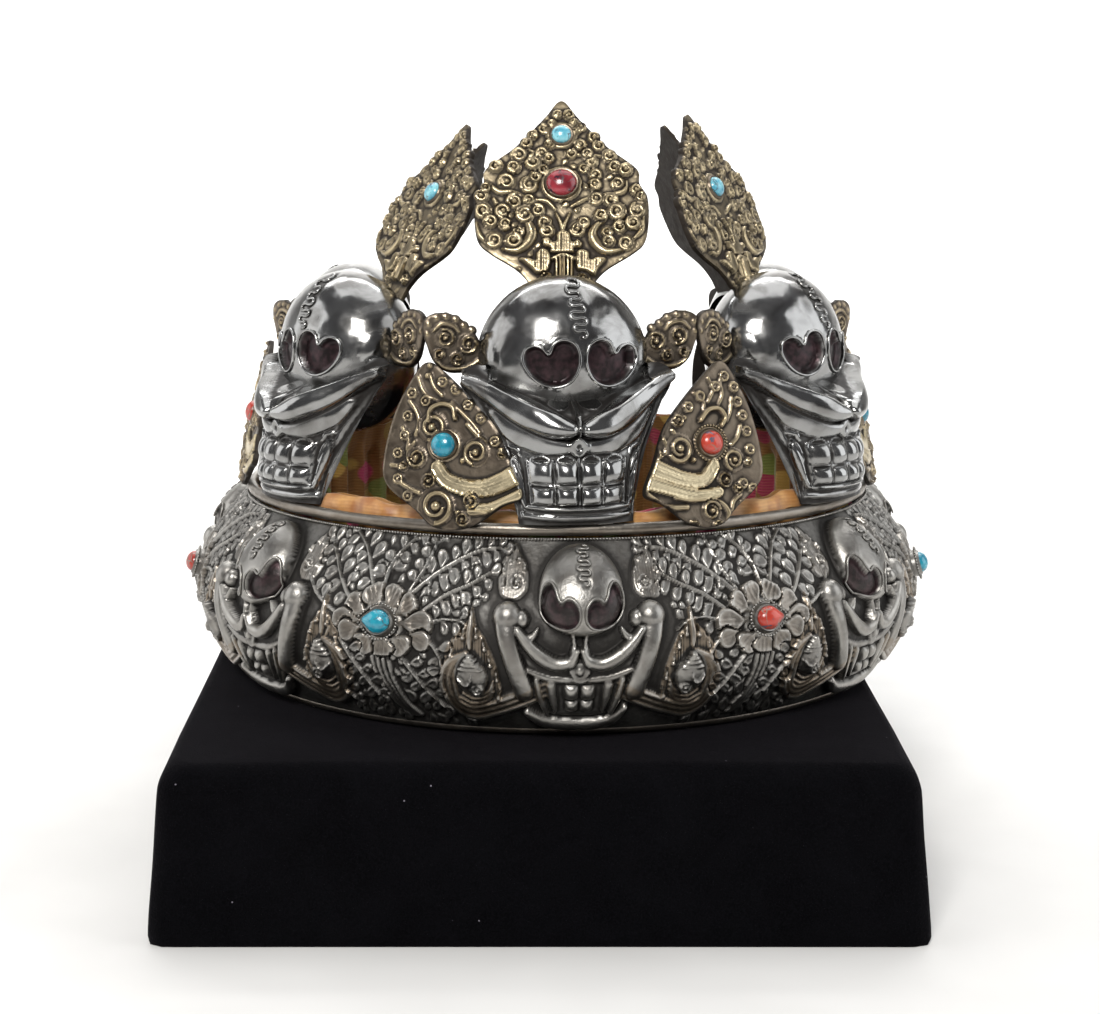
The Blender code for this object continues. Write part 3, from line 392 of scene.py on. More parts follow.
def maths(tree, operation, first, second=0.0, clamp=False):
    return addNode(tree, "ShaderNodeMath", {"operation": operation, "use_clamp": clamp},
                   {0: first, 1: second}).outputs[0]


def attribute(tree, name):
    return addNode(tree, "ShaderNodeAttribute", {"attribute_name": name}).outputs["Fac"]


def bumped(tree, shader, height, depthMm, strength=1.0):
    made = addNode(tree, "ShaderNodeBump", {},
                   {"Height": height, "Distance": depthMm * mm, "Strength": strength})
    tree.links.new(made.outputs["Normal"], shader.inputs["Normal"])


def workedMetal(name, look):
    # metal worked by hand: bright where it is rubbed, oxide left in the recesses, soft blotches of
    # tarnished metal that on the polished silver are also painted dark reflection, fine hammer and
    # polishing marks; the oxide colour also lays the painted shade that some pieces carry in their recess
    # values
    made, tree, shader = newFinish(name)
    colour = {key: linear(look[key]) for key in ("light", "blotch", "warm", "crest", "oxide")}
    recess = attribute(tree, "recess")
    # blotches: tarnished metal, and on the polished silver also painted dark reflection
    patches = ranged(tree, noiseOf(tree, look["patch"], 4.0, 0.55, 0.6), 0.42, 0.66, kind="SMOOTHSTEP")
    body = mixed(tree, maths(tree, "MULTIPLY", patches, look["tarnish"]), colour["light"], colour["blotch"])
    gilding = maths(tree, "MULTIPLY", attribute(tree, "warm"), look["warmth"], True)
    body = mixed(tree, gilding, body, colour["warm"])
    body = mixed(tree, ranged(tree, recess, 0.0, 0.2, look["rub"], 0.0), body, colour["crest"])
    dirt = maths(tree, "MULTIPLY", ranged(tree, noiseOf(tree, 1.6, 2.0), 0.45, 0.75), look["dirt"])
    # oxide and dirt, plus the painted shade that some pieces carry in their recess values, laid in the oxide
    # colour
    oxideDirtAndShade = maths(tree, "ADD", recess, dirt, True)
    oxideDirtAndShade = ranged(tree, oxideDirtAndShade, look["recessFrom"], look["recessTo"], kind="SMOOTHSTEP")
    bare = ranged(tree, noiseOf(tree, look["patch"] * 0.4), 0.3, 0.7, look["rough"],
                  look["rough"] + look["roughSpread"])
    rough = maths(tree, "ADD", bare, maths(tree, "MULTIPLY", oxideDirtAndShade, look["oxideRough"]), True)
    feed(tree, shader, colour=mixed(tree, oxideDirtAndShade, body, colour["oxide"]), roughness=rough,
         metallic=ranged(tree, oxideDirtAndShade, 0.0, 1.0, 1.0, look["oxideMetal"]))
    hammered = maths(tree, "MULTIPLY", noiseOf(tree, look["hammer"], 1.0), look["hammerDepth"])
    scratched = maths(tree, "MULTIPLY", noiseOf(tree, 0.45, 2.0), look["scratch"])
    bumped(tree, shader, maths(tree, "ADD", hammered, scratched), 1.0, 1.0)
    return made


# colours first, then shares of them (rub, warmth, tarnish, dirt), sizes in mm (patch,
# hammer), where the oxide and painted shade begin and where they cover all, and the gloss
metalLooks = {
    # chased silver sheet: grey-white on the crests, nearly black oxide in the ground, brown where it was gilt
    "chased": ("silver_chased_oxidised", {
        "light": "8B8985", "blotch": "6A6661", "crest": "B4B1AB", "warm": "80705C", "oxide": "2F2D2B",
        "rub": 0.6, "warmth": 0.75, "tarnish": 0.7, "dirt": 0.10, "patch": 9.0, "hammer": 1.3,
        "hammerDepth": 0.10, "recessFrom": 0.26, "recessTo": 0.90, "rough": 0.32, "roughSpread": 0.12,
        "oxideRough": 0.20,
        "oxideMetal": 0.8, "scratch": 0.03}),
    # raised and planished silver: mirror-like with slow waves from the hammer and a grey bloom; its blotches
    # are partly tarnished metal, partly painted dark reflection
    "polished": ("silver_raised_polished", {
        "light": "9C9C9B", "blotch": "6C6A67", "crest": "ABABA9", "warm": "A48F74", "oxide": "24211F",
        "rub": 0.5, "warmth": 0.8, "tarnish": 0.75, "dirt": 0.05, "patch": 14.0, "hammer": 5.0,
        "hammerDepth": 0.22, "recessFrom": 0.26, "recessTo": 0.95, "rough": 0.13, "roughSpread": 0.10,
        "oxideRough": 0.30,
        "oxideMetal": 0.6, "scratch": 0.010}),
    # parcel-gilt silver, rubbed: straw on the crests, brown-black between
    "gilt": ("silver_gilt_rubbed", {
        "light": "8A7E68", "blotch": "665B48", "crest": "BAAA88", "warm": "8A7258", "oxide": "2B241D",
        "rub": 0.85, "warmth": 0.6, "tarnish": 0.6, "dirt": 0.12, "patch": 7.0, "hammer": 1.1,
        "hammerDepth": 0.08, "recessFrom": 0.26, "recessTo": 0.85, "rough": 0.26, "roughSpread": 0.14,
        "oxideRough": 0.28,
        "oxideMetal": 0.6, "scratch": 0.03}),
    # leaf plates: thin sheet with a brown bloom, champagne where hands have rubbed it
    "leaf": ("silver_leaf_brown_bloom", {
        "light": "7C7163", "blotch": "5A5046", "crest": "B4A484", "warm": "DACBA8", "oxide": "2C2722",
        "rub": 0.85, "warmth": 0.9, "tarnish": 0.7, "dirt": 0.10, "patch": 8.0, "hammer": 1.2,
        "hammerDepth": 0.05, "recessFrom": 0.24, "recessTo": 0.85, "rough": 0.28, "roughSpread": 0.12,
        "oxideRough": 0.24,
        "oxideMetal": 0.7, "scratch": 0.03})}
finishes = {key: workedMetal(*look) for key, look in metalLooks.items()}


def paintSockets(made):  # eye sockets: old red paint, rubbed, over dark silver
    tree = made.node_tree
    shader = tree.nodes["Principled BSDF"]
    dark = attribute(tree, "dark")
    paint = mixed(tree, ranged(tree, noiseOf(tree, 2.2, 3.0), 0.4, 0.7), linear("1A1012"), linear("3E2A2E"))
    for label, value in (("Roughness", 0.34), ("Metallic", 0.55)):
        old = shader.inputs[label].links[0].from_socket
        mix = addNode(tree, "ShaderNodeMix", {"data_type": "FLOAT"}, {0: dark, 2: old, 3: value}).outputs[0]
        tree.links.new(mix, shader.inputs[label])
    old = shader.inputs["Base Color"].links[0].from_socket
    tree.links.new(mixed(tree, dark, old, paint), shader.inputs["Base Color"])


for key in ("polished", "chased"):
    paintSockets(finishes[key])


def stoneFinish(name, look):
    made, tree, shader = newFinish(name, {"IOR": look["ior"], "Coat Weight": 0.35, "Coat Roughness": 0.08})
    coords, cell = objectCoords(tree), look["cell"]
    wander = addNode(tree, "ShaderNodeTexNoise", {}, {"Vector": coords, "Scale": 400.0}).outputs["Color"]
    wander = addNode(tree, "ShaderNodeVectorMath", {"operation": "SCALE"},
                     {0: wander, "Scale": look["warp"] * mm})
    warped = addNode(tree, "ShaderNodeVectorMath", {"operation": "ADD"},
                     {0: coords, 1: wander.outputs[0]}).outputs[0]
    cells = addNode(tree, "ShaderNodeTexVoronoi", {"feature": "DISTANCE_TO_EDGE"},
                    {"Vector": warped, "Scale": 1 / (cell * mm)}).outputs["Distance"]
    vein = maths(tree, "MULTIPLY", ranged(tree, cells, 0.0, look["veinWidth"], 1.0, 0.0, "SMOOTHSTEP"),
                 ranged(tree, noiseOf(tree, cell * 1.3), 0.46, 0.62))
    tone = mixed(tree, ranged(tree, noiseOf(tree, cell * 1.6, 3.0), 0.35, 0.68), linear(look["deep"]),
                 linear(look["pale"]))
    blot = ranged(tree, noiseOf(tree, look["blotSize"], 3.0, 0.6, 0.8), look["blotFrom"],
                  look["blotFrom"] + 0.08,
                  kind="SMOOTHSTEP")
    tone = mixed(tree, vein, mixed(tree, blot, tone, linear(look["blot"])), linear(look["vein"]))
    feed(tree, shader, colour=tone, roughness=ranged(tree, vein, 0.0, 1.0, look["rough"], 0.45))
    bumped(tree, shader, maths(tree, "SUBTRACT", 1.0, vein), 0.05, 0.6)
    return made


# turquoise: waxy blue with dark matrix; coral: red with grey-blue blotches where it has worn
turquoiseBlue = stoneFinish("turquoise_cabochon_blue",
                            {"deep": "0E7690", "pale": "2A9CB0", "blot": "17505E", "blotFrom": 0.68,
                             "blotSize": 2.6, "vein": "20343A", "cell": 2.6, "veinWidth": 0.07, "warp": 1.4,
                             "rough": 0.22, "ior": 1.61})
turquoisePale = stoneFinish("turquoise_cabochon_pale",
                            {"deep": "4FA0B8", "pale": "8FD2DC", "blot": "2F6F62", "blotFrom": 0.62,
                             "blotSize": 2.0, "vein": "16303A", "cell": 1.9, "veinWidth": 0.11, "warp": 1.2,
                             "rough": 0.24, "ior": 1.61})
coralRed = stoneFinish("coral_cabochon_red",
                       {"deep": "982A1C", "pale": "BC4030", "blot": "4C5566", "blotFrom": 0.60,
                        "blotSize": 3.2, "vein": "6E7468", "cell": 4.5, "veinWidth": 0.06, "warp": 1.6,
                        "rough": 0.28, "ior": 1.55})
coralDark = stoneFinish("coral_cabochon_dark",
                        {"deep": "6E1C26", "pale": "A83A44", "blot": "2E1E2A", "blotFrom": 0.55,
                         "blotSize": 3.0, "vein": "3A2A30", "cell": 3.6, "veinWidth": 0.10, "warp": 1.6,
                         "rough": 0.20, "ior": 1.55})


def velvetFinish():  # cotton velvet: almost black, short pile that catches light at grazing angles, lint
    made, tree, shader = newFinish("velvet_cotton_black", {
        "Roughness": 1.0, "Specular IOR Level": 0.04, "Sheen Weight": 0.06, "Sheen Roughness": 0.4,
        "Sheen Tint": linear("9C94A0")})
    crush = ranged(tree, noiseOf(tree, 18.0, 4.0, 0.6, 0.5), 0.35, 0.7)
    tone = mixed(tree, crush, linear("030304"), linear("070709"))
    nap = ranged(tree, noiseOf(tree, 0.5, 2.0), 0.35, 0.75)
    tone = mixed(tree, maths(tree, "MULTIPLY", nap, 0.5), tone, linear("100F13"))
    lint = addNode(tree, "ShaderNodeTexVoronoi", {"feature": "F1"},
                   {"Vector": objectCoords(tree), "Scale": 1 / (7.0 * mm), "Randomness": 1.0}).outputs
    some = addNode(tree, "ShaderNodeSeparateColor", {}, {0: lint["Color"]}).outputs[0]
    speck = maths(tree, "MULTIPLY", ranged(tree, lint["Distance"], 0.02, 0.045, 1.0, 0.0),
                  ranged(tree, some, 0.72, 0.74))
    feed(tree, shader, colour=mixed(tree, speck, tone, linear("77737C")))
    bumped(tree, shader, maths(tree, "ADD", nap, crush), 0.25, 0.6)
    return made


def silkFinish(name, base, light, rib, sizeMm):  # woven silk: fine ribs along the weft, soft sheen
    made, tree, shader = newFinish(name, {"Roughness": 0.45, "Sheen Weight": 0.4})
    tone = mixed(tree, ranged(tree, noiseOf(tree, 6.0, 3.0), 0.35, 0.65), linear(base), linear(light))
    wave = addNode(tree, "ShaderNodeTexWave", {"bands_direction": "Z"},
                   {"Vector": objectCoords(tree), "Scale": 1 / (sizeMm * mm * 6.28), "Distortion": 1.5,
                    "Detail": 1.0}).outputs["Fac"]
    feed(tree, shader, colour=mixed(tree, maths(tree, "MULTIPLY", wave, 0.22), tone, linear(rib)))
    bumped(tree, shader, wave, 0.05, 0.5)
    return made


def brocadeFinish():  # silk brocade: magenta, green and gold figures on a brown ground, ribbed weft
    made, tree, shader = newFinish("brocade_silk_figured", {"Roughness": 0.6, "Sheen Weight": 0.3})
    sewn = addNode(tree, "ShaderNodeUVMap", {"uv_map": "sewn"}).outputs[0]  # one unit is one mm of cloth
    figures = addNode(tree, "ShaderNodeTexVoronoi", {"feature": "F1"},
                      {"Vector": sewn, "Scale": 1 / 11.0, "Randomness": 0.9}).outputs
    pick = addNode(tree, "ShaderNodeSeparateColor", {}, {0: figures["Color"]}).outputs[0]
    ramp = addNode(tree, "ShaderNodeValToRGB", {}, {0: pick})
    ramp.color_ramp.interpolation = "CONSTANT"
    stops = ramp.color_ramp.elements
    stops[0].color, stops[1].color = linear("B08C3E"), linear("E0B860")
    stops[1].position = 0.75
    for where, tone in ((0.20, "D8507E"), (0.42, "8C9A4A"), (0.60, "B83458")):
        stops.new(where).color = linear(tone)
    tone = mixed(tree, ranged(tree, figures["Distance"], 0.44, 0.50), ramp.outputs[0], linear("9A6A34"))
    wave = addNode(tree, "ShaderNodeTexWave", {"bands_direction": "Y"},
                   {"Vector": sewn, "Scale": 0.28, "Distortion": 0.6}).outputs["Fac"]
    feed(tree, shader, colour=mixed(tree, maths(tree, "MULTIPLY", wave, 0.10), tone, linear("D8B46A")))
    bumped(tree, shader, wave, 0.15, 0.8)
    return made


velvet = velvetFinish()
orangeSilk = silkFinish("silk_orange_woven", "A06630", "CC9A5C", "8A5424", 0.5)
brocade = brocadeFinish()
print("finishes made")


# Beads and wires that follow a path

def beadTree(name, segments, rings):
    tree = bpy.data.node_groups.new(name, "GeometryNodeTree")
    face = tree.interface
    face.new_socket("Geometry", in_out="INPUT", socket_type="NodeSocketGeometry")
    for label, value in (("Spacing", 0.001), ("Radius", 0.0004), ("Variation", 0.08)):
        face.new_socket(label, in_out="INPUT", socket_type="NodeSocketFloat").default_value = value
    face.new_socket("Finish", in_out="INPUT", socket_type="NodeSocketMaterial")
    face.new_socket("Geometry", in_out="OUTPUT", socket_type="NodeSocketGeometry")
    enter, leave = addNode(tree, "NodeGroupInput").outputs, addNode(tree, "NodeGroupOutput")
    line = addNode(tree, "GeometryNodeMeshToCurve", {}, {0: enter["Geometry"]}).outputs[0]
    even = addNode(tree, "GeometryNodeResampleCurve", {"mode": "LENGTH"},
                   {"Curve": line, "Length": enter["Spacing"]})
    ball = addNode(tree, "GeometryNodeMeshUVSphere", {},
                   {"Segments": segments, "Rings": rings, "Radius": enter["Radius"]})
    low, high = (maths(tree, way, 1.0, enter["Variation"]) for way in ("SUBTRACT", "ADD"))
    size = addNode(tree, "FunctionNodeRandomValue", {"data_type": "FLOAT"},
                   {2: low, 3: high, "Seed": 5}).outputs[1]
    tangent = addNode(tree, "GeometryNodeInputTangent").outputs[0]
    aim = addNode(tree, "FunctionNodeAlignRotationToVector", {"axis": "X"}, {"Vector": tangent}).outputs[0]
    row = addNode(tree, "GeometryNodeInstanceOnPoints", {},
                  {"Points": even.outputs[0], "Instance": ball.outputs[0], "Rotation": aim, "Scale": size})
    real = addNode(tree, "GeometryNodeRealizeInstances", {}, {0: row.outputs[0]}).outputs[0]
    dressed = addNode(tree, "GeometryNodeSetMaterial", {}, {"Geometry": real, "Material": enter["Finish"]})
    rounded = addNode(tree, "GeometryNodeSetShadeSmooth", {}, {0: dressed.outputs[0]}).outputs[0]
    tree.links.new(rounded, leave.inputs[0])
    return tree


beadRow = beadTree("bead_row", 6, 3)


def beadRing(name, ring, inputs, finish):  # beads round a closed ring of points in mm, as one plain mesh
    mesh = bpy.data.meshes.new(name + "_path")
    mesh.from_pydata([tuple(p) for p in ring * mm], [(k, (k + 1) % len(ring)) for k in range(len(ring))],
                     [])
    guide = bpy.data.objects.new(name + "_path", mesh)
    bpy.context.scene.collection.objects.link(guide)
    modifier = guide.modifiers.new("row", "NODES")
    modifier.node_group = beadRow
    items = [item for item in beadRow.interface.items_tree if item.in_out == "INPUT"]
    sockets = {item.name: item.identifier for item in items}
    for label, value in inputs.items():
        modifier[sockets[label]] = value
    modifier[sockets["Finish"]] = finish
    plain = bpy.data.meshes.new_from_object(guide.evaluated_get(bpy.context.evaluated_depsgraph_get()))
    bpy.data.objects.remove(guide)
    plain.name = name
    recess = plain.attributes.new("recess", "FLOAT", "POINT")
    recess.data.foreach_set("value", np.full(len(plain.vertices), 0.1, np.float32))
    row = bpy.data.objects.new(name, plain)
    bpy.context.scene.collection.objects.link(row)
    return finishPiece(row)


def tubeAlong(points, radius, closed, sides=8):  # round wire along a path: points, quads, end faces
    path = np.asarray(points, float)
    n = len(path)
    ahead, back = np.roll(path, -1, 0), np.roll(path, 1, 0)
    if not closed:
        ahead[-1], back[0] = path[-1], path[0]
    along = ahead - back
    along /= np.maximum(np.linalg.norm(along, axis=1, keepdims=True), 1e-9)
    side = np.cross(along, (0.0, -1.0, 0.05))
    side /= np.maximum(np.linalg.norm(side, axis=1, keepdims=True), 1e-9)
    up = np.cross(side, along)
    radii = np.full(n, radius)
    if not closed:
        radii[0] = radii[-1] = radius * 0.3
    a = (np.arange(sides) / sides * 2 * math.pi)[None, :, None]
    rings = path[:, None] + radii[:, None, None] * (side[:, None] * np.cos(a) + up[:, None] * np.sin(a))
    k = np.arange(sides)
    ends = [] if closed else [k[::-1], (n - 1) * sides + k]
    return rings.reshape(-1, 3), gridQuads(n, sides, closed=True, around=closed), ends


def wirePart(name, wires, finish):  # wires: list of (points, radius, closed)
    points, quads, tris, start = [], [], [], 0
    for wire in wires:
        p, q, ends = tubeAlong(*wire)
        points.append(p)
        quads.append(q + start)
        for end in ends:
            tris += [(end[0] + start, end[j] + start, end[j + 1] + start) for j in range(1, len(end) - 1)]
        start += len(p)
    values = {"recess": np.full(start, 0.12), "warm": np.zeros(start), "dark": np.zeros(start)}
    obj = meshPiece(name, np.vstack(points), np.vstack(quads), tris, finish, values)
    return finishPiece(obj)


# wavy seam of a skull as (across, down) pairs, loops leaning back on themselves
def seamPath(height, loops, sway):
    t = np.linspace(0, 1, int(loops * 20) + 1)
    a = t * loops * 2 * math.pi
    return sway * np.sin(a) * (0.85 + 0.15 * np.cos(a * 0.37)), height * (t - 0.125 / loops * np.sin(2 * a))


# Camera, in front and a little above

view = {"place": (-2.4, -624.0, 206.3), "pitch": 0.167, "lens": 59.04}
lensData = bpy.data.cameras.new("camera")
lensData.lens, lensData.sensor_width, lensData.sensor_fit = view["lens"], 36.0, "HORIZONTAL"
lensData.clip_start, lensData.clip_end = 0.01, 20.0
camera = bpy.data.objects.new("camera", lensData)
camera.location = [v * mm for v in view["place"]]
camera.rotation_euler = (math.pi / 2 - view["pitch"], 0.0, 0.0)
bpy.context.scene.collection.objects.link(camera)
bpy.context.scene.camera = camera


# Head band

crownBase = 51.8  # top of the display block plus the seat gap
band = {"base": 111.5, "bulge": 123.0, "top": 106.0, "bulgeHeight": 28.0, "topHeight": 57.5, "wall": 1.8,
        "rimRadius": 104.92, "rimHeight": 60.2, "rimRoll": 1.8, "baseRoll": 1.6}


def bandRadius(z):
    z = np.asarray(z, float)
    under = 1 - z / band["bulgeHeight"]
    low = band["base"] + (band["bulge"] - band["base"]) * np.cos(under * math.pi / 2)
    share = (z - band["bulgeHeight"]) / (band["topHeight"] - band["bulgeHeight"])
    high = band["top"] + (band["bulge"] - band["top"]) * np.cos(share * math.pi / 2)
    return np.where(z < band["bulgeHeight"], low, high)


def onBand(s, z, rise):  # s: mm along the bulge from the front, z: above the crown's base
    slope = (bandRadius(z + 0.2) - bandRadius(z - 0.2)) / 0.4
    size = np.sqrt(1 + slope ** 2)
    radius = bandRadius(z) + rise / size
    angle = s / band["bulge"]
    return np.stack([radius * np.sin(angle), -radius * np.cos(angle), z - rise * slope / size + crownBase],
                    -1)


def along(degrees):
    return math.radians(degrees) * band["bulge"]


def bandFrame(degrees, z, rise):  # X along the wall, Y up it, Z out
    slope = float((bandRadius(z + 0.2) - bandRadius(z - 0.2)) / 0.4)
    a = math.radians(degrees)
    out = np.array([math.sin(a), -math.cos(a), -slope])
    out /= np.linalg.norm(out)
    side = np.array([math.cos(a), math.sin(a), 0.0])
    made = np.eye(4)
    made[:3, 0], made[:3, 1], made[:3, 2] = side, np.cross(out, side), out
    made[:3, 3] = onBand(np.array(along(degrees)), np.array(z), np.array(rise))
    return made


motifPlaces = (-101.5, -49.7, 3.2, 52.8, 104.5)
flowerPlaces = (("front_left", -24.9, "turquoise", 1), ("front_right", 29.6, "coral", -1),
                ("side_left", -79.0, "coral", 1), ("side_right", 78.0, "turquoise", -1),
                ("rear_left", -129.0, "turquoise", 1), ("rear_right", 130.0, "coral", -1))
flowerHeight = 34.0


def moved(points, s0, way=1, z0=0.0):
    return [(s0 + way * p[0], z0 + p[1], *p[2:]) for p in points]


def pillow(sheet, x, y, rx, ry, height, base=0.0):  # cushioned tooth with rounded corners
    spots = window(sheet, [(x, y)], max(rx, ry))
    u, v = np.abs(sheet["x"][spots] - x) / rx, np.abs(sheet["y"][spots] - y) / ry
    inside = (u < 1) & (v < 1)
    rise = np.clip((1 - u ** 2.2) * (1 - v ** 2.2), 0, 1) ** 0.5
    lay(sheet, spots, np.where(inside, base + height * rise, 0.0), "max", inside)


motifDome = {"up": 44.0, "wide": 13.1, "tall": 12.1, "rise": 7.4}
motifEye = [(-12.2, 39.6), (-12.0, 42.6), (-10.9, 44.6), (-9.2, 44.9), (-7.8, 43.4), (-7.0, 41.2),
            (-6.0, 40.0), (-4.4, 40.6), (-2.6, 40.2), (-1.0, 38.4), (-0.9, 35.9), (-2.6, 34.2),
            (-5.6, 34.0), (-9.0, 35.4), (-11.2, 37.4)]


def motifRise(x, z):  # height of the dome at a spot, from its own middle
    x, z = x / motifDome["wide"], (z - motifDome["up"]) / motifDome["tall"]
    return 0.4 + motifDome["rise"] * np.sqrt(np.clip(1 - x ** 2 - z ** 2, 0, 1))


def motifSeam(s0):
    across, down = seamPath(10.6, 4.5, 1.9)
    return s0 + 0.6 + across, 54.0 - down


motifKeep = [(-40, 9), (-40, 27), (-33, 40), (-29, 34), (-25, 45), (-23, 54), (-13, 57), (13, 57), (23, 54),
             (25, 45), (29, 34), (33, 40), (40, 27), (40, 9), (28, 1), (-28, 1)]
motifFace = [(-20, 35), (-16, 25), (-13.4, 18), (-10.6, 9.4), (-5, 7.6), (5, 7.6), (10.6, 9.4), (13.4, 18),
             (16, 25), (20, 35), (13, 28.5), (6.5, 24.6), (0, 27), (-6.5, 24.6), (-13, 28.5)]
motifFlame = [(-40.8, 19), (-39.8, 27.5), (-36.8, 32.2), (-34.4, 34.8), (-32.4, 39.8), (-30.4, 34.8),
              (-28.0, 31.5), (-25.4, 26), (-23.8, 19.5), (-24.0, 12), (-31, 7.6), (-38.9, 10.5)]
motifSmallFlame = [(-20.9, 56.2), (-24.4, 52.5), (-25.4, 47.5), (-23.8, 42.8), (-19.4, 42.0), (-16.2, 45.2),
                   (-16.8, 50.6), (-18.8, 53.6)]
# one side of the jaw, left of its middle: (x, up, half width) of each ridge, its height and its shape
motifRidges = (
    # the bone that crosses behind the jaw
    ([(-21.3, 36.6, 3.7), (-20.6, 31.4, 3.2), (-18.6, 24.4, 3.1), (-16.0, 16.6, 3.3)], 3.2,
     {"count": 6, "base": 0.4, "flat": 0.38}),
    # cheek: a heavy roll with a spur, an open ring beside the nose, and the lip
    ([(-17.8, 34.0, 1.4), (-14.6, 30.2, 2.0), (-10.8, 26.8, 2.4), (-6.4, 24.9, 2.3), (-2.6, 25.8, 1.9),
      (-0.9, 28.6, 1.2)], 3.0, {"base": 0.9, "count": 6}),
    ([(-16.2, 31.4, 1.6), (-13.6, 32.2, 1.3), (-11.8, 34.6, 0.5)], 2.4, {"base": 0.6}),
    ([(-2.2, 33.4, 0.6), (-1.6, 30.4, 0.8), (-2.4, 27.6, 0.9)], 2.2, {"base": 0.5}),
    ([(-15.0, 22.9, 0.8), (-9.5, 20.6, 1.2), (-4.0, 20.0, 1.1), (0, 19.8, 0.9)], 0.8, {"base": 1.3}),
    # jaw flank and fang
    ([(-12.4, 20.2, 0.9), (-11.4, 15, 1.3), (-9.6, 9.8, 0.8)], 1.6, {"base": 1.2}),
    ([(-8.4, 18.6, 1.7), (-7.9, 15, 1.5), (-7.0, 10.2, 0.5)], 1.9, {"base": 0.9}))


def motifSide(sheet, s0, jaw, way):
    field(sheet, moved(motifFlame, s0, way), 1.0, 1.2, warm=0.95, lines=(0.0, 0.85, 0.30), rim=0.2)
    tongue = [(-32.4, 28.5, 0.5), (-32.6, 32, 1.1), (-32.3, 35.5, 0.8), (-32.4, 40.0, 0.2)]
    stroke(sheet, moved(tongue, s0, way), 1.0, base=0.8, warm=0.6)
    for x, y, lean in ((-38.0, 26.3, 0.8), (-34.4, 31.4, 0.3), (-30.4, 31.8, -0.4), (-28.0, 28.4, -0.8),
                       (-26.4, 23.8, -0.7), (-24.6, 19.6, -0.4), (-24.6, 13.8, 0.9), (-40.2, 21.6, 0.5),
                       (-39.8, 12.6, 0.4)):
        bead(sheet, s0 + way * x, y, 0.72, 1.3, (way * lean, 3.2), 0.9)
    field(sheet, moved(motifSmallFlame, s0, way), 0.9, 1.0, warm=0.2, lines=(0.0, 0.9, 0.25), rim=0.2)
    curl(sheet, s0 + way * -19.6, 46.4, 2.5, 0.9, way=way, base=0.8)
    for x, y in ((-23.6, 46), (-24.0, 49.5), (-22.0, 51.8), (-19.4, 52.2), (-17.4, 49.8)):
        bead(sheet, s0 + way * x, y, 0.55, 1.1, (0.0, 2.0), 0.8)
    # a ribbon of three bars runs out from under the jaw and round the conch
    for k, off in enumerate((-1.75, 0.15, 1.9)):
        path = [(-10.6, 17.2 + off), (-18.4, 13.4 + off), (-26.0, 10.4 + off * 0.9),
                (-32.4, 8.8 + off * 0.9),
                (-37.2 + off * 0.4, 11.0 + off * 0.6), (-39.2 + off, 15.6), (-39.2 + off, 20.0),
                (-37.0 + off * 0.8, 24.6), (-33.4, 26.6 - off * 0.3)]
        stroke(sheet, moved(path, s0, way), 1.5 - 0.1 * k, width=1.0, warm=0.8, base=0.7, flat=0.35)
    for x, y in ((0, 0), (0.9, 1.5), (1.8, 3.0)):
        path = [(-36.0 + x, 13.6 + y, 0.5), (-32.4 + x * 0.6, 11.8 + y, 0.8),
                (-28.0 + x * 0.3, 13.0 + y, 0.8), (-25.8, 16.0 + y, 0.4)]
        stroke(sheet, moved(path, s0, way), 1.1, base=0.7, warm=0.5)
    # the conch: body, mouth, whorls and lip, in bare silver
    boss(sheet, s0 + way * -31.9, 20.2, 4.9, 5.6, 3.2, base=0.5)
    curl(sheet, s0 + way * -30.3, 17.2, 2.0, 0.8, way=way, base=3.0)
    for k, (size, up) in enumerate(((3.7, 23.0), (2.8, 24.3), (1.9, 25.5), (1.0, 26.5))):
        boss(sheet, s0 + way * -32.1, up, size, 0.85, 0.9, base=2.6 + 0.15 * k)
    spots = window(sheet, [(s0 - way * 31.9, 21.2)], 6.4)
    x, y = sheet["x"][spots] - s0 + way * 31.9, sheet["y"][spots] - 21.2
    sheet["warm"][spots] = np.where((x / 4.9) ** 2 + (y / 6.4) ** 2 < 1, 0.0, sheet["warm"][spots])
    lip = [(-35.9, 20.6, 0.3), (-33.8, 18.9, 0.5), (-32.2, 19.6, 0.4), (-31.6, 21.4, 0.3)]
    stroke(sheet, moved(lip, s0, way), 0.9, blend="add")
    for points, height, shape in motifRidges:
        stroke(sheet, moved(points, jaw, way), height, **shape)
    boss(sheet, jaw + way * -20.9, 37.6, 4.4, 4.0, 4.2, base=0.4)
    boss(sheet, jaw + way * -17.0, 37.0, 2.6, 2.6, 2.6, base=0.4)
    pillow(sheet, jaw + way * 2.35, 16.4, 2.2, 2.4, 2.4, 0.9)
    pillow(sheet, jaw + way * 2.2, 12.0, 2.0, 1.9, 2.1, 0.9)


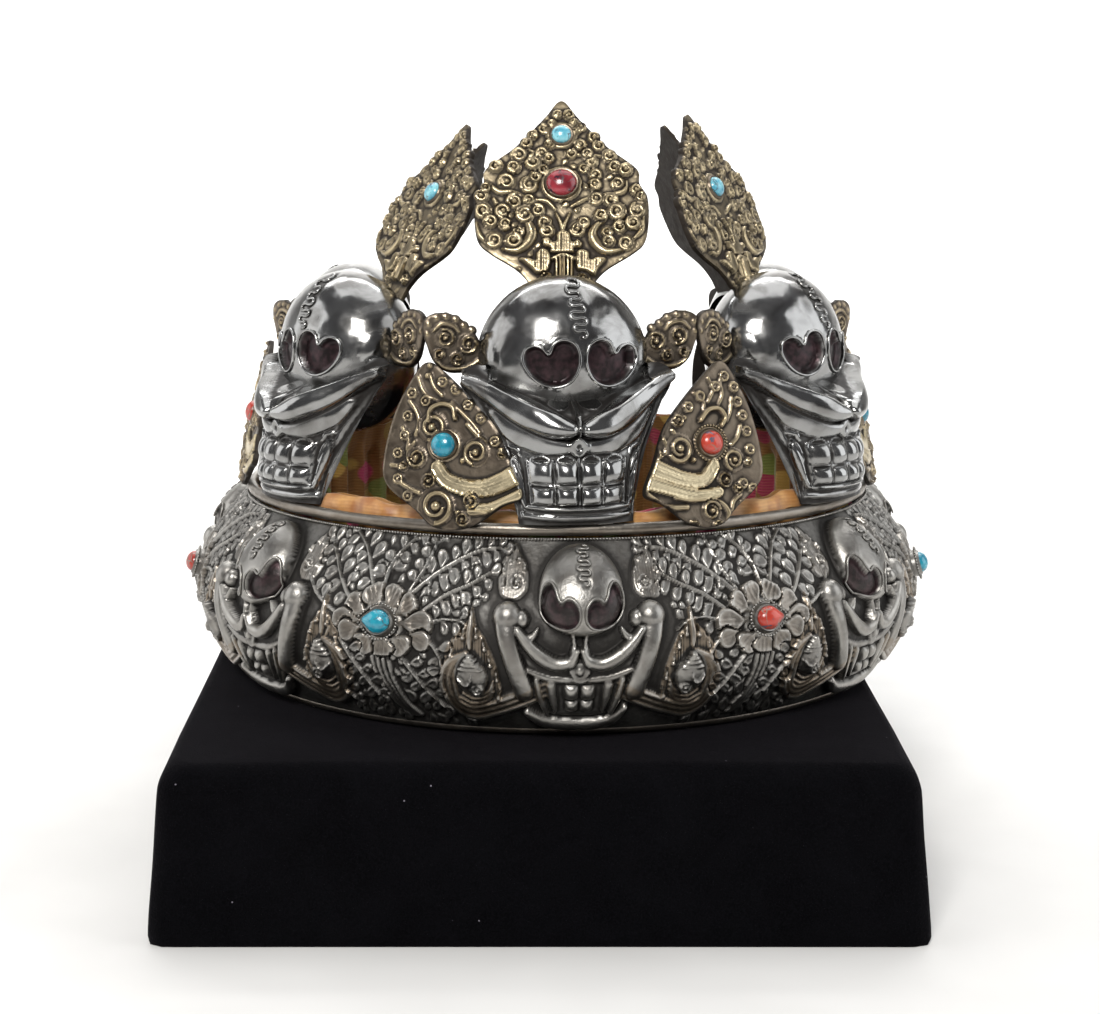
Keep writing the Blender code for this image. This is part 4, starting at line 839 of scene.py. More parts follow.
def bandMotif(sheet, s0):
    # skull over crossed bones, ribbons that wrap two conches, flames behind
    jaw = s0 - 0.8
    spots = window(sheet, moved(motifKeep, s0), 1.0)
    inside = outlineDistance(sheet["x"][spots], sheet["y"][spots], moved(motifKeep, s0)) < 0
    sheet["taken"][spots] |= inside
    field(sheet, moved(motifFace, jaw), 1.3, 1.6)
    for way in (1, -1):
        motifSide(sheet, s0, jaw, way)
    chin = [(-16.1, 9.6, 1.5), (-11.7, 6.6, 2.2), (-5.4, 5.5, 2.3), (0.3, 5.3, 2.3), (6.6, 6.0, 2.2),
            (10.4, 7.9, 1.9),
            (12.9, 11.0, 1.2)]
    stroke(sheet, moved(chin, s0), 2.4, base=0.5)
    field(sheet, moved([(0, 25.6), (3.3, 22.9), (0, 19.2), (-3.3, 22.9)], jaw), 2.4, 0.6, rim=0.4)
    boss(sheet, jaw, 22.9, 1.1, 1.3, 0.7, blend="add")
    # the dome, its seam and its sunken heart sockets
    boss(sheet, s0, motifDome["up"], motifDome["wide"], motifDome["tall"], motifDome["rise"], base=0.4)
    stroke(sheet, list(zip(*motifSeam(s0))), 0.3, width=0.7, blend="cut", count=1)
    for way in (1, -1):
        field(sheet, moved(motifEye, s0, way), 1.9, 0.9, blend="cut", dark=0.9)


def spray(sheet, points, length, width, rise=1.15):
    # drooping leaves to both sides of a stem, as on a fern; gives back the stem's path, which is laid last
    path = flowing([(x, y) for x, y in points], 10)
    run = np.concatenate([[0], np.cumsum(np.hypot(*(path[1:] - path[:-1]).T))])
    pairs = max(int(run[-1] / (0.60 * length)), 2)
    tip = path[-1] - path[-3]
    leaflet(sheet, path[-2][0], path[-2][1], math.atan2(tip[1], tip[0]), length * 0.8, width * 0.8, rise,
            lines=4, room=0.5)
    for k in range(pairs):
        at = (k + 0.7) / (pairs + 0.1)
        index = min(int(np.searchsorted(run, at * run[-1])), len(path) - 2)
        step = path[index + 1] - path[index]
        heading = math.atan2(step[1], step[0])
        size = 1.0 - 0.30 * at + 0.10 * math.sin(2.1 * k + points[0][0])
        for side in (1, -1):
            spread = (1.10 - 0.30 * at) * side
            ahead = step / np.hypot(*step) * (0.0 if side > 0 else 0.33 * length)
            leaflet(sheet, path[index][0] + ahead[0], path[index][1] + ahead[1], heading + spread,
                    length * size, width * size,
                    rise * (0.92 + 0.10 * math.sin(k + side)), bend=0.30 * side, lines=5, room=0.48)
    thin = 0.26 * 5 / len(path)
    return [(x, y, 0.62 - thin * k) for k, (x, y) in enumerate(path[::5])]


def stems(sheet, paths, rise=1.15):  # laid over the leaves, and kept clear of later ones
    for path in paths:
        stroke(sheet, path, rise, count=1, base=0.3)
        spots = window(sheet, path, 1.2)
        sheet["taken"][spots] |= alongPath(sheet["x"][spots], sheet["y"][spots], path) < 1.2


flowerSprays = (([(-4.4, 8.0), (-8.6, 14.0), (-13.0, 19.0), (-19.0, 22.4)], 6.2, 4.3),
                ([(-1.4, 9.0), (-1.6, 14.0), (0.4, 18.6), (4.4, 22.4)], 5.8, 4.1),
                ([(8.0, 8.0), (14.5, 13.6), (21.7, 17.8), (28.5, 20.4), (34.5, 21.0)], 6.2, 4.3),
                ([(7.4, 8.6), (10.4, 14.6), (12.4, 21.6)], 5.2, 3.8),
                ([(13.0, 4.0), (19.0, 8.4), (26.0, 11.4), (32.0, 14.6)], 6.0, 4.2),
                ([(14.0, 0.6), (19.4, 2.0), (25.0, 1.8), (28.4, -0.6)], 5.2, 3.7),
                ([(-11.4, 4.4), (-17.0, 9.4), (-22.0, 14.4), (-27.0, 18.6)], 6.0, 4.2),
                ([(-14.6, 0.4), (-20.4, 2.6), (-26.0, 5.6), (-31.0, 10.0)], 5.6, 4.0),
                ([(-14.0, -6.0), (-10.4, -11.6), (-6.6, -17.0), (-3.0, -22.6)], 5.8, 3.9),
                ([(-18.0, -3.4), (-20.4, -10.0), (-18.6, -17.0), (-13.0, -25.4)], 5.6, 3.8),
                ([(6.6, -9.4), (9.6, -13.4), (13.0, -18.4), (18.6, -24.6)], 5.8, 3.9),
                ([(15.6, -4.0), (19.0, -9.0), (19.6, -15.0), (24.0, -20.6)], 5.4, 3.7))


def bandFlower(sheet, s0, way):
    z0, squash = flowerHeight, 0.78  # the flower is wider than it is tall
    for k in range(4):  # four parallel stalks fall from it
        stalk = moved([(-3.4 + 1.9 * k, -8.0), (-2.4 + 1.7 * k, -16.0), (1.6 + 1.3 * k, -24.0),
                       (6.6 + 1.0 * k, -28.6)], s0, way, z0)
        stroke(sheet, stalk, 1.1, width=0.66)
        spots = window(sheet, stalk, 1.0)
        sheet["taken"][spots] |= sheet["h"][spots] > 0.4
    petals = ((155, 14.4, 9.0, 8.2), (112, 12.8, 8.6, 8.6), (72, 12.6, 8.6, 8.6), (38, 13.4, 8.4, 7.6),
              (182, 16.6, 10.5, 6.6), (2, 16.4, 11.5, 7.6),
              (-24, 17.0, 9.0, 6.4), (-50, 13.4, 8.2, 7.8), (-86, 12.0, 8.2, 8.4), (-122, 12.8, 8.0, 7.8),
              (-158, 15.0, 8.4, 7.0))
    for k, (angle, outer, length, width) in enumerate(petals):
        a = math.radians(angle if way > 0 else 180 - angle)
        c, s = math.cos(a), math.sin(a)
        x, y = s0 + (outer - length) * c * 1.1, z0 + (outer - length) * s * squash
        leaflet(sheet, x, y, math.atan2(s * squash, c), length * (1 - 0.14 * abs(s)), width,
                1.5 + 0.4 * (k % 2),
                hollow=0.22, warm=0.4, lines=6, base=0.3)
    boss(sheet, s0, z0, 7.4, 6.2, 1.6, power=0.3)
    stems(sheet, [spray(sheet, moved(points, s0, way, z0), *size) for points, *size in flowerSprays])


def rearFoliage(sheet):
    for side in (1, -1):
        for k in range(5):
            s0 = along(180 - side * (30 - 8.0 * k))
            lean = 3.5 * math.sin(2.4 * k)
            stem = [(s0, 5), (s0 + lean, 18), (s0 - lean, 34), (s0 + side * 4, 53)]
            stems(sheet, [spray(sheet, stem, 6.6, 4.6)])
        stem = [(along(180 - side * edge), z) for edge, z in ((39, 6), (37, 22), (39, 40), (36, 54))]
        stems(sheet, [spray(sheet, stem, 6.4, 4.4)])


# loose leaves, turned away from the nearest flower, on ground still bare
def fillGround(sheet, tries, least, most):
    s, z = sheet["net"]
    free = ~sheet["taken"].reshape(sheet["shape"])
    flowers = np.array([along(place + lap) for _, place, _, _ in flowerPlaces for lap in (0, 360)])
    for _ in range(tries):
        cx, cy, size = rng.uniform(s[0] + 1, s[-1] - 1), rng.uniform(3.5, 56), rng.uniform(least, most)
        twist, bend = rng.uniform(-0.8, 0.8), rng.uniform(-0.3, 0.3)
        if free[min(np.searchsorted(z, cy), len(z) - 1), min(np.searchsorted(s, cx), len(s) - 1)]:
            near = flowers[np.argmin(np.abs(flowers - cx))]
            angle = math.atan2(cy - flowerHeight, cx - near) + twist
            leaflet(sheet, cx - 0.62 * size * math.cos(angle), cy - 0.62 * size * math.sin(angle), angle,
                    size, size * 0.7, 0.95, lines=4, bend=bend, room=0.14)


def bandParts(degrees, columnStep, rows, pieces):
    # a stretch of the wall, chased outside and plain inside, in pieces of (name, from, to, nodes)
    stops = [along(degrees[0])]
    for edge, step in zip(degrees[1:], columnStep):
        count = max(int(round((along(edge) - stops[-1]) / step)), 2)
        stops += list(np.linspace(stops[-1], along(edge), count + 1)[1:])
    s = np.array(stops)
    s = s[:len(s) - (len(s) - 1) % 4]
    s[-1] = along(degrees[-1])
    z = np.linspace(2.2, 58.0, rows)
    gridS, gridZ = np.meshgrid(s, z)
    sheet = newSheet(gridS, gridZ)
    sheet["net"] = (s, z)
    for lap in (0, 360):  # the rear stretch counts on past half way round
        for place in motifPlaces:
            bandMotif(sheet, along(place + lap))
        for _, place, _, way in flowerPlaces:
            bandFlower(sheet, along(place + lap), way)
    if degrees[-1] > 180:
        rearFoliage(sheet)
    fillGround(sheet, 3200, 4.4, 5.6)
    fillGround(sheet, 3600, 2.6, 3.6)
    h = sheet["h"].reshape(gridS.shape)
    h = h * smooth((gridZ - 2.0) / 2.0) * smooth((58.6 - gridZ) / 2.0)
    recess = np.clip(recessOf(h) + 0.24 * smooth((0.32 - h) / 0.25), 0, 1)
    outer = onBand(gridS, gridZ, h - 0.2)
    inner = onBand(gridS, gridZ, np.full(gridS.shape, -band["wall"]))
    for name, first, last, nodes in pieces:
        a, b = (4 * int(round(np.searchsorted(s, along(edge)) / 4)) for edge in (first, last))
        b = min(b, len(s) - 1)
        part = (slice(None), slice(a, b + 1))
        coarse = (slice(None, None, 4), slice(a, b + 1, 4))
        values = {"recess": recess[part], "warm": sheet["warm"].reshape(h.shape)[part],
                  "dark": sheet["dark"].reshape(h.shape)[part]}
        shell(name, outer[part].reshape(-1, 3), h[part].shape, inner[coarse].reshape(-1, 3),
              h[coarse].shape, finishes["chased"], values, nodes, sharp=70.0)


def shell(name, outer, shape, inner, innerShape, finish, values, nodes, sharp=50.0, step=4):
    # closed sheet: fine outside, plain inside with a point to every fourth, stitched round the edges
    rows, columns = shape
    innerRows, innerColumns = innerShape
    start = rows * columns
    quads = np.vstack([gridQuads(rows, columns), gridQuads(innerRows, innerColumns, start, flip=True)])

    def loop(r, c, first):
        lower = [first + k for k in range(c)]
        right = [first + k * c + c - 1 for k in range(1, r)]
        upper = [first + (r - 1) * c + k for k in range(c - 2, -1, -1)]
        left = [first + k * c for k in range(r - 2, 0, -1)]
        return lower + right + upper + left
    fine, plain = loop(rows, columns, 0), loop(innerRows, innerColumns, start)
    tris = []
    for k in range(len(plain)):
        a, b = plain[k], plain[(k + 1) % len(plain)]
        for j in range(step):
            tris.append((a, fine[(k * step + j + 1) % len(fine)], fine[k * step + j]))
        tris.append((a, b, fine[(k * step + step) % len(fine)]))
    full = {key: np.concatenate([np.asarray(value).ravel(),
                                 np.full(len(inner), 0.35 if key == "recess" else 0.0)])
            for key, value in values.items()}
    obj = meshPiece(name, np.vstack([outer, inner]), quads, tris, finish, full, sharp)
    return finishPiece(obj, nodes)


fine = 1.0
rows = 145


def motifWires():  # raised wires over the seam and round the sockets of each dome
    wires = []
    for place in motifPlaces:
        s0 = along(place)
        s, z = motifSeam(s0)
        wires.append((onBand(s, z, motifRise(s - s0, z) - 0.10), 0.38, False))
        for way in (1, -1):
            s, z = flowing([(s0 + way * x, y) for x, y in motifEye], 6, True).T
            wires.append((onBand(s, z, motifRise(s - s0, z) - 0.02), 0.36, True))
    return wires


wirePart("motif_wires", motifWires(), finishes["chased"])
bandParts((-95, -66, 66, 95), (0.53 * fine, 0.39 * fine, 0.53 * fine), rows,
          (("band_left", -95, -30, ()), ("band_middle", -30, 34, ("band",)), ("band_right", 34, 95, ())))
bandParts((95, 265), (1.0 * fine,), rows // 2 + 1, (("band_rear", 95, 265, ()),))
print("band chased")


# Skulls

dome = {"out": 81.4, "up": 107.5, "half": (25.9, 20.0, 25.8), "spread": 146.0, "wall": 1.2}
# name, steps of 57 degrees from the front, own turn, lean of the finial and its reach from the middle
skullPlaces = (("front", 0, 10.0, 25.5, 67.2), ("left", -1, 8.0, 28.0, 67.2),
               ("right", 1, -9.0, 22.0, 72.8), ("left_rear", -2, 0.0, 36.0, 67.2),
               ("right_rear", 2, 0.0, 25.5, 67.2))
# the face from its foot to above the cheeks: share of height, front and back half width between
# jaw and cheek, front and corner reach as shares of the face's depth
faceSections = np.array([(0.00, 0.00, 0.00, 0.25, 0.06), (0.15, 0.02, 0.10, 0.47, 0.14),
                         (0.37, 0.08, 0.26, 0.60, 0.22), (0.52, 0.14, 0.39, 0.64, 0.26),
                         (0.69, 0.22, 0.58, 0.82, 0.34), (0.84, 0.29, 0.77, 0.86, 0.36),
                         (0.93, 0.33, 0.93, 0.83, 0.35), (0.99, 0.36, 1.00, 0.78, 0.33),
                         (1.04, 0.36, 1.00, 0.74, 0.31), (1.09, 0.32, 0.93, 0.68, 0.28),
                         (1.12, 0.24, 0.76, 0.60, 0.24)])
faceFoot, faceTall, faceDepth = 62.3, 40.3, 18.0
eyeHeart = [(0.9, 109.0), (1.6, 113.0), (3.6, 114.9), (6.2, 115.3), (8.6, 114.0), (10.0, 111.2),
            (11.8, 112.9), (14.2, 113.6), (16.6, 112.2), (17.2, 109.0), (15.4, 105.4), (12.4, 102.8),
            (8.6, 101.6), (4.8, 102.4), (2.2, 105.0)]


def skullFrame(steps, own):
    turned = shift(0, -dome["out"], 0) @ turn("Z", own) @ shift(0, dome["out"], 0)
    return shift(1.2, 0, crownBase) @ turn("Z", 57.0 * steps) @ turned


def domeSurface(count):  # even square of points wrapped over the ellipsoid, its middle to the front
    a, b = np.meshgrid(np.linspace(-1, 1, count), np.linspace(-1, 1, count))
    u, v = a * np.sqrt(1 - b * b / 2), b * np.sqrt(1 - a * a / 2)
    reach = np.clip(np.hypot(u, v), 1e-6, 1.0)
    polar = (0.6 * reach + 0.4 * reach ** 3) * math.radians(dome["spread"])
    sideways, upwards = np.sin(polar) * u / reach, np.sin(polar) * v / reach
    hx, hy, hz = dome["half"]
    points = np.stack([hx * sideways, -hy * np.cos(polar) - dome["out"], hz * upwards + dome["up"]], -1)
    normals = np.stack([sideways / hx, -np.cos(polar) / hy, upwards / hz], -1)
    normals /= np.linalg.norm(normals, axis=-1, keepdims=True)
    # the drawing lies on the front half; behind the widest ring it is pushed out of reach
    past = 1 + np.clip(polar - math.pi / 2, 0, None) * 1.4
    return points, normals, points[..., 0] * past, dome["up"] + (points[..., 2] - dome["up"]) * past


def domeRelief(sheet, slide):
    for way in (1, -1):
        heart = [(slide + way * x, y) for x, y in eyeHeart]
        field(sheet, heart, 2.4, 1.7, blend="cut", rim=0.3, rimWidth=0.8, dark=0.95)
        # faint oval at the temple
        boss(sheet, way * 23.2, 111.0, 1.7, 4.4, 0.45, power=0.35, angle=-0.15 * way)
    # dents of the hammer, a few tenths deep
    for _ in range(26):
        x, z, rx, rz = rng.uniform(-24, 24), rng.uniform(98, 131), rng.uniform(3, 6), rng.uniform(3, 6)
        boss(sheet, x, z, rx, rz, rng.uniform(0.04, 0.13), blend="cut", power=2.0)


def domeOutward(x, z, rise):  # how far out the dome's skin lies at a spot of its drawing
    hx, hy, hz = dome["half"]
    x, z = np.asarray(x, float), np.asarray(z, float)
    q = np.sqrt(np.clip(1 - (x / hx) ** 2 - ((z - dome["up"]) / hz) ** 2, 0, 1))
    normal = np.stack([x / hx ** 2, -q / hy, (z - dome["up"]) / hz ** 2], -1)
    normal /= np.linalg.norm(normal, axis=-1, keepdims=True)
    return np.stack([x, -dome["out"] - hy * q, z], -1) + normal * rise


def faceSurface(rows, columns):  # across, outwards and up of a net bent round the face's sections
    shares = np.linspace(0.0, faceSections[-1, 0], rows)
    x, out = np.zeros((rows, columns)), np.zeros((rows, columns))
    for r, share in enumerate(shares):
        front, back, reach, corner = (np.interp(share, faceSections[:, 0], row)
                                      for row in faceSections.T[1:])
        plane = 104.0 - 14.9 * share
        halfFront, halfBack = 16.5 + 15.6 * front, 16.5 + 15.6 * back
        nose, edge = plane + faceDepth * reach, plane + faceDepth * corner
        half = np.array([(0.0, nose), (halfFront * 0.55, nose - (nose - edge) * 0.24), (halfFront, edge),
                         (halfFront + (halfBack - halfFront) * 0.55, edge + (plane - edge) * 0.5),
                         (halfBack, plane)])
        ring = flowing(np.vstack([half[:0:-1] * (-1, 1), half]), 6)
        run = np.concatenate([[0], np.cumsum(np.hypot(*(ring[1:] - ring[:-1]).T))])
        spots = np.linspace(0, run[-1], columns)
        x[r], out[r] = np.interp(spots, run, ring[:, 0]), np.interp(spots, run, ring[:, 1])
    z = faceFoot + faceTall * shares[:, None] + np.zeros((1, columns))
    return x, blur(out, max(rows // 40, 1)), z


# one side of the face, right of its middle: (x, up, half width) of each ridge, its height and its shape
faceRidges = (
    # cheek roll, fattest beside the nose, and the thin fold under it
    ([(2.6, 90.3, 2.6), (5.6, 90.8, 3.7), (9, 92.0, 4.5), (14.7, 94.8, 4.7), (20.7, 98.2, 3.9),
      (26.0, 101.2, 2.9),
      (30.0, 103.2, 2.2), (33.0, 104.4, 1.4)], 4.8, {"count": 7}),
    ([(1.4, 86.9, 0.4), (5, 86.3, 0.5), (8.9, 86.9, 0.55), (12.4, 88.2, 0.55), (17.2, 90.9, 0.5),
      (24.8, 96.0, 0.45)],
     0.55, {"count": 6}),
    # upper jaw swells between the fold and the teeth
    ([(1.0, 85.0, 1.6), (6, 85.0, 2.4), (12, 86.4, 3.4), (17.6, 89.6, 3.6), (22.6, 94.0, 2.0)], 1.5,
     {"count": 7}),
    # wires between the teeth and beside them, the jaw's front edge and its hook
    ([(7.35, 81.2), (7.2, 77.5), (7.1, 73.9), (7.0, 68.6)], 0.75, {"width": 0.40, "count": 3}),
    ([(14.5, 81.0), (14.2, 77.5), (13.9, 73.9), (13.6, 68.6)], 0.9, {"width": 0.45, "count": 3}),
    ([(18.2, 82.6, 0.4), (17.6, 79.4, 1.6), (16.6, 73.6, 1.4), (15.2, 67.6, 0.6)], 1.9, {"count": 6}),
    ([(16.2, 82.2, 0.5), (17.0, 84.0, 0.6), (19.4, 84.6, 0.5)], 0.7, {"count": 4}))
# ridges that cross the middle: nose, wires of the teeth, two rolls of the chin
faceMiddle = (([(0, 98.4, 0.5), (0, 94, 0.8), (0, 88.6, 0.6)], 3.0, {"count": 5, "base": 0.6}),
              ([(0, 81.6), (0, 74), (0, 68.6)], 0.75, {"width": 0.40, "count": 3}),
              ([(-14.2, 74.3), (-7, 73.9), (0, 73.8), (7, 73.9), (14.2, 74.3)], 0.85,
               {"width": 0.42, "count": 3}),
              ([(-14.8, 67.6, 0.7), (-8, 67.2, 0.8), (0, 67.1, 0.8), (8, 67.2, 0.8), (14.8, 67.6, 0.7)],
               1.4, {"count": 5}),
              ([(-15.4, 65.0, 0.7), (-8, 64.3, 1.0), (0, 64.1, 1.1), (8, 64.3, 1.0), (15.4, 65.0, 0.7)],
               0.7, {"count": 5}))


def faceRelief(sheet):
    for way in (1, -1):
        for points, height, shape in faceRidges:
            stroke(sheet, moved(points, 0, way), height, **shape)
        boss(sheet, way * 4.6, 97.0, 3.4, 1.7, 1.2, power=0.3, angle=-0.14 * way)
        for x, half in ((3.7, 3.15), (10.9, 3.25)):  # upper teeth, each under a thin arch
            pillow(sheet, way * x, 77.7, half, 3.45, 2.3, 0.1)
            arch = [(x - half - 0.1, 79.4), (x - half * 0.75, 81.4), (x, 82.4), (x + half * 0.75, 81.4),
                    (x + half + 0.1, 79.4)]
            stroke(sheet, moved(arch, 0, way), 0.5, width=0.36, count=4)
        for x in (3.6, 10.4):
            pillow(sheet, way * x, 70.8, 3.0, 2.65, 2.1, 0.1)
        # two grooves follow the back edge of the side panel
        for inset, height in ((1.2, 0.5), (3.4, 0.4)):
            groove = [(16.5 - inset * 0.3, 64, 0.5), (19.2 - inset, 74, 0.5), (22.8 - inset, 84, 0.5),
                      (28.2 - inset, 94, 0.5), (31.8 - inset * 0.8, 101.5, 0.4)]
            stroke(sheet, moved(groove, 0, way), height, count=5, blend="cut")
    field(sheet, [(0, 88.2), (3.1, 85.0), (0, 81.9), (-3.1, 85.0)], 1.8, 0.8, rim=0.35, rimWidth=0.4)
    boss(sheet, 0, 85.0, 0.9, 0.9, 0.7, blend="cut")
    for points, height, shape in faceMiddle:
        stroke(sheet, points, height, **shape)


every4th = (slice(None, None, 4), slice(None, None, 4))  # the inner shell's share of the outer net


def domePart(name, place, count, slide, seamLine):
    points, normals, dx, dz = domeSurface(count)
    sheet = newSheet(dx, dz)
    domeRelief(sheet, slide)
    stroke(sheet, list(zip(*seamLine)), 0.22, width=0.75, blend="cut", count=1)
    behind = (points[..., 1] > -dome["out"] + 9.0).ravel()
    h = np.where(behind, 0.0, sheet["h"]).reshape(dx.shape)
    # the front of the dome is darkened where it meets the cheeks: painted shade in the joint
    near = np.clip((98.0 - points[..., 2] + 0.32 * np.abs(points[..., 0])) / 4.0 + 0.4, 0, 0.28)
    near = near * (points[..., 1] < -dome["out"])
    recess = np.clip(recessOf(h) * 0.9 + near + 0.6 * np.clip(-h / 0.25, 0, 1), 0, 1)
    outer = placed(place, (points + normals * h[..., None]).reshape(-1, 3))
    deepest = h.copy()  # the inner skin keeps clear of the sockets
    for axis in (0, 1):
        for reach in (1, 2, 3):
            around = np.minimum(np.roll(deepest, reach, axis), np.roll(deepest, -reach, axis))
            deepest = np.minimum(deepest, around)
    skin = points[every4th] - (dome["wall"] - deepest[every4th])[..., None] * normals[every4th]
    inner = placed(place, skin.reshape(-1, 3))
    values = {"recess": recess, "warm": sheet["warm"], "dark": np.where(behind, 0, sheet["dark"])}
    shell(name + "_dome", outer, dx.shape, inner, skin.shape[:2], finishes["polished"], values, (name,))


def facePart(name, place, rows, columns):
    x, out, z = faceSurface(rows, columns)
    sheet = newSheet(x, z)
    faceRelief(sheet)
    h = sheet["h"].reshape(x.shape)
    h *= smooth((z - faceFoot) / 1.6)
    # near the dome the face sinks to its surface along a curve from temple to temple
    q = np.clip(1 - (x / dome["half"][0]) ** 2 - ((z - dome["up"]) / dome["half"][2]) ** 2, 0, 1)
    domeOut = dome["out"] + dome["half"][1] * np.sqrt(q)
    seam = 97.6 + 8.6 * np.clip(np.abs(x) / 24.2, 0, 1) ** 1.8
    blend = np.where(np.abs(x) > 24.0, 1.0, smooth((seam - z) / 4.6 + 0.15))
    sink = 1.2 + 3.0 * smooth((z - 99.2) / 1.6)
    base = np.minimum(domeOut - sink + (out - domeOut + sink) * blend, out)
    # where the surface runs back, the relief leans outwards with it
    slopeX = np.gradient(base, axis=1) / np.maximum(np.abs(np.gradient(x, axis=1)), 1e-3)
    wide = 1 / np.sqrt(1 + np.clip(slopeX, -3, 3) ** 2)
    total = base + h * blend * wide
    xOut = x + np.sign(x) * (np.abs(slopeX) > 0.2) * h * blend * (1 - wide) * 0.8
    # the face's sides, turned away from the front, and its foot above the rim are darkened: painted shade
    sides = 0.45 * smooth((np.abs(x) - (18.5 + (z - 80) * 0.22)) / 3.0)
    recess = np.clip(0.9 * recessOf(h) + sides + 0.5 * smooth((65.2 - z) / 1.5), 0, 0.9)
    outer = placed(place, np.stack([xOut, -total, z], -1).reshape(-1, 3))
    xi, oi, zi = x[every4th], base[every4th], z[every4th]
    inside = np.full(xi.shape, 1.3)  # wall, none at the two rear edges
    inside[:, [0, -1]] = 0.0
    skin = np.stack([np.sign(xi) * np.clip(np.abs(xi) - 1.2, 0, None), inside - oi, zi], -1)
    values = {key: sheet[key] for key in ("warm", "dark")}
    shell(name + "_face", outer, x.shape, placed(place, skin.reshape(-1, 3)), xi.shape,
          finishes["polished"],
          {"recess": recess, **values}, ())


def skullPart(name, place, count, rows, columns):
    slide = 2.7 if name == "skull_front" else 0.0  # the sockets sit off the middle, as in the photo
    across, down = seamPath(16.0, 4.5, 2.4)
    seamLine = (0.25 * slide + 0.4 + across + 0.08 * down, 132.0 - down)
    domePart(name, place, count, slide, seamLine)
    facePart(name, place, rows, columns)
    # raised wires: the wavy seam and the edges of the sockets
    wires = [(placed(place, domeOutward(*seamLine, 0.12)), 0.46, False)]
    for way in (1, -1):
        x, z = flowing([(slide + way * x, z) for x, z in eyeHeart], 6, True).T
        wires.append((placed(place, domeOutward(x, z, 0.22)), 0.42, True))
    wirePart(name + "_wires", wires, finishes["polished"])


rough = 1.0


def gridCount(value):  # nearest count that gives the inner shell a point to every fourth
    return int(round((value * rough - 1) / 4)) * 4 + 1


# points across the dome, up the face and round it
skullNets = {"front": (137, 153, 193), "left": (101, 101, 117), "right": (101, 101, 117),
             "left_rear": (77, 69, 81), "right_rear": (77, 69, 81)}
for name, steps, own, _, _ in skullPlaces:
    skullPart("skull_" + name, skullFrame(steps, own), *(gridCount(v) for v in skullNets[name]))
print("skulls raised")


# Flat plates: finials, leaves and ears

def plateSheet(distance, low, high, cell):
    # square net over the drawing, cut to where distance(x, y) is negative, edge drawn to the line
    (x0, y0), (x1, y1) = low, high
    across, up = np.arange(x0 - cell, x1 + 2 * cell, cell), np.arange(y0 - cell, y1 + 2 * cell, cell)
    gx, gy = np.meshgrid(across, up)
    d = distance(gx.ravel(), gy.ravel()).reshape(gx.shape)
    ok = d < 0.35 * cell
    keep = ok[:-1, :-1] & ok[1:, :-1] & ok[:-1, 1:] & ok[1:, 1:]
    for _ in range(6):  # no cells that touch only at a corner
        cornered = keep[:-1, :-1] & keep[1:, 1:] & ~keep[1:, :-1] & ~keep[:-1, 1:]
        keep[1:, 1:] &= ~cornered
        cornered = keep[1:, :-1] & keep[:-1, 1:] & ~keep[:-1, :-1] & ~keep[1:, 1:]
        keep[1:, :-1] &= ~cornered
    keep = largest(keep)
    keep = ~largest(np.pad(~keep, 1, constant_values=True))[1:-1, 1:-1]
    used = np.zeros(gx.shape, bool)
    for a, b in ((0, 0), (0, 1), (1, 0), (1, 1)):
        used[a:a + keep.shape[0], b:b + keep.shape[1]] |= keep
    number = np.full(gx.shape, -1)
    number[used] = np.arange(used.sum())
    r, c = np.nonzero(keep)
    quads = np.stack([number[r, c], number[r, c + 1], number[r + 1, c + 1], number[r + 1, c]], -1)
    edges = {(q[k], q[(k + 1) % 4]): True for q in quads for k in range(4)}
    rim = {a: b for a, b in edges if (b, a) not in edges}
    start = next(iter(rim))
    loop, here = [start], rim[start]
    while here != start:
        loop.append(here)
        here = rim[here]
    x, y = gx[used], gy[used]
    loop = np.array(loop)
    for _ in range(2):
        lx, ly = x[loop], y[loop]
        d0, e = distance(lx, ly), 0.05
        nx, ny = (distance(lx + e, ly) - d0) / e, (distance(lx, ly + e) - d0) / e
        size = np.maximum(np.hypot(nx, ny), 0.3)
        x[loop], y[loop] = lx - nx / size ** 2 * d0 * 0.95, ly - ny / size ** 2 * d0 * 0.95
    return x, y, quads, loop, used


def largest(cells):  # the biggest connected patch of true cells
    mark = np.where(cells, np.arange(cells.size).reshape(cells.shape) + 1, 0)
    while True:
        old, grown = mark, mark.copy()
        for axis in (0, 1):
            for way in (1, -1):
                rolled = np.roll(grown, way, axis)
                edge = [slice(None)] * 2
                edge[axis] = 0 if way > 0 else -1
                rolled[tuple(edge)] = 0
                grown = np.maximum(grown, rolled)
        # jump along rows and columns to spread quickly
        mark = np.where(cells, grown, 0)
        for axis in (0, 1):
            mark = sweepMax(mark, cells, axis)
        if np.array_equal(mark, old):
            break
    names, counts = np.unique(mark[mark > 0], return_counts=True)
    return mark == names[np.argmax(counts)]


def sweepMax(mark, cells, axis):
    mark = np.moveaxis(mark.copy(), axis, 0)
    cells = np.moveaxis(cells, axis, 0)
    for k in range(1, len(mark)):
        mark[k] = np.where(cells[k] & cells[k - 1], np.maximum(mark[k], mark[k - 1]), mark[k])
    for k in range(len(mark) - 2, -1, -1):
        mark[k] = np.where(cells[k] & cells[k + 1], np.maximum(mark[k], mark[k + 1]), mark[k])
    return np.moveaxis(mark, 0, axis)


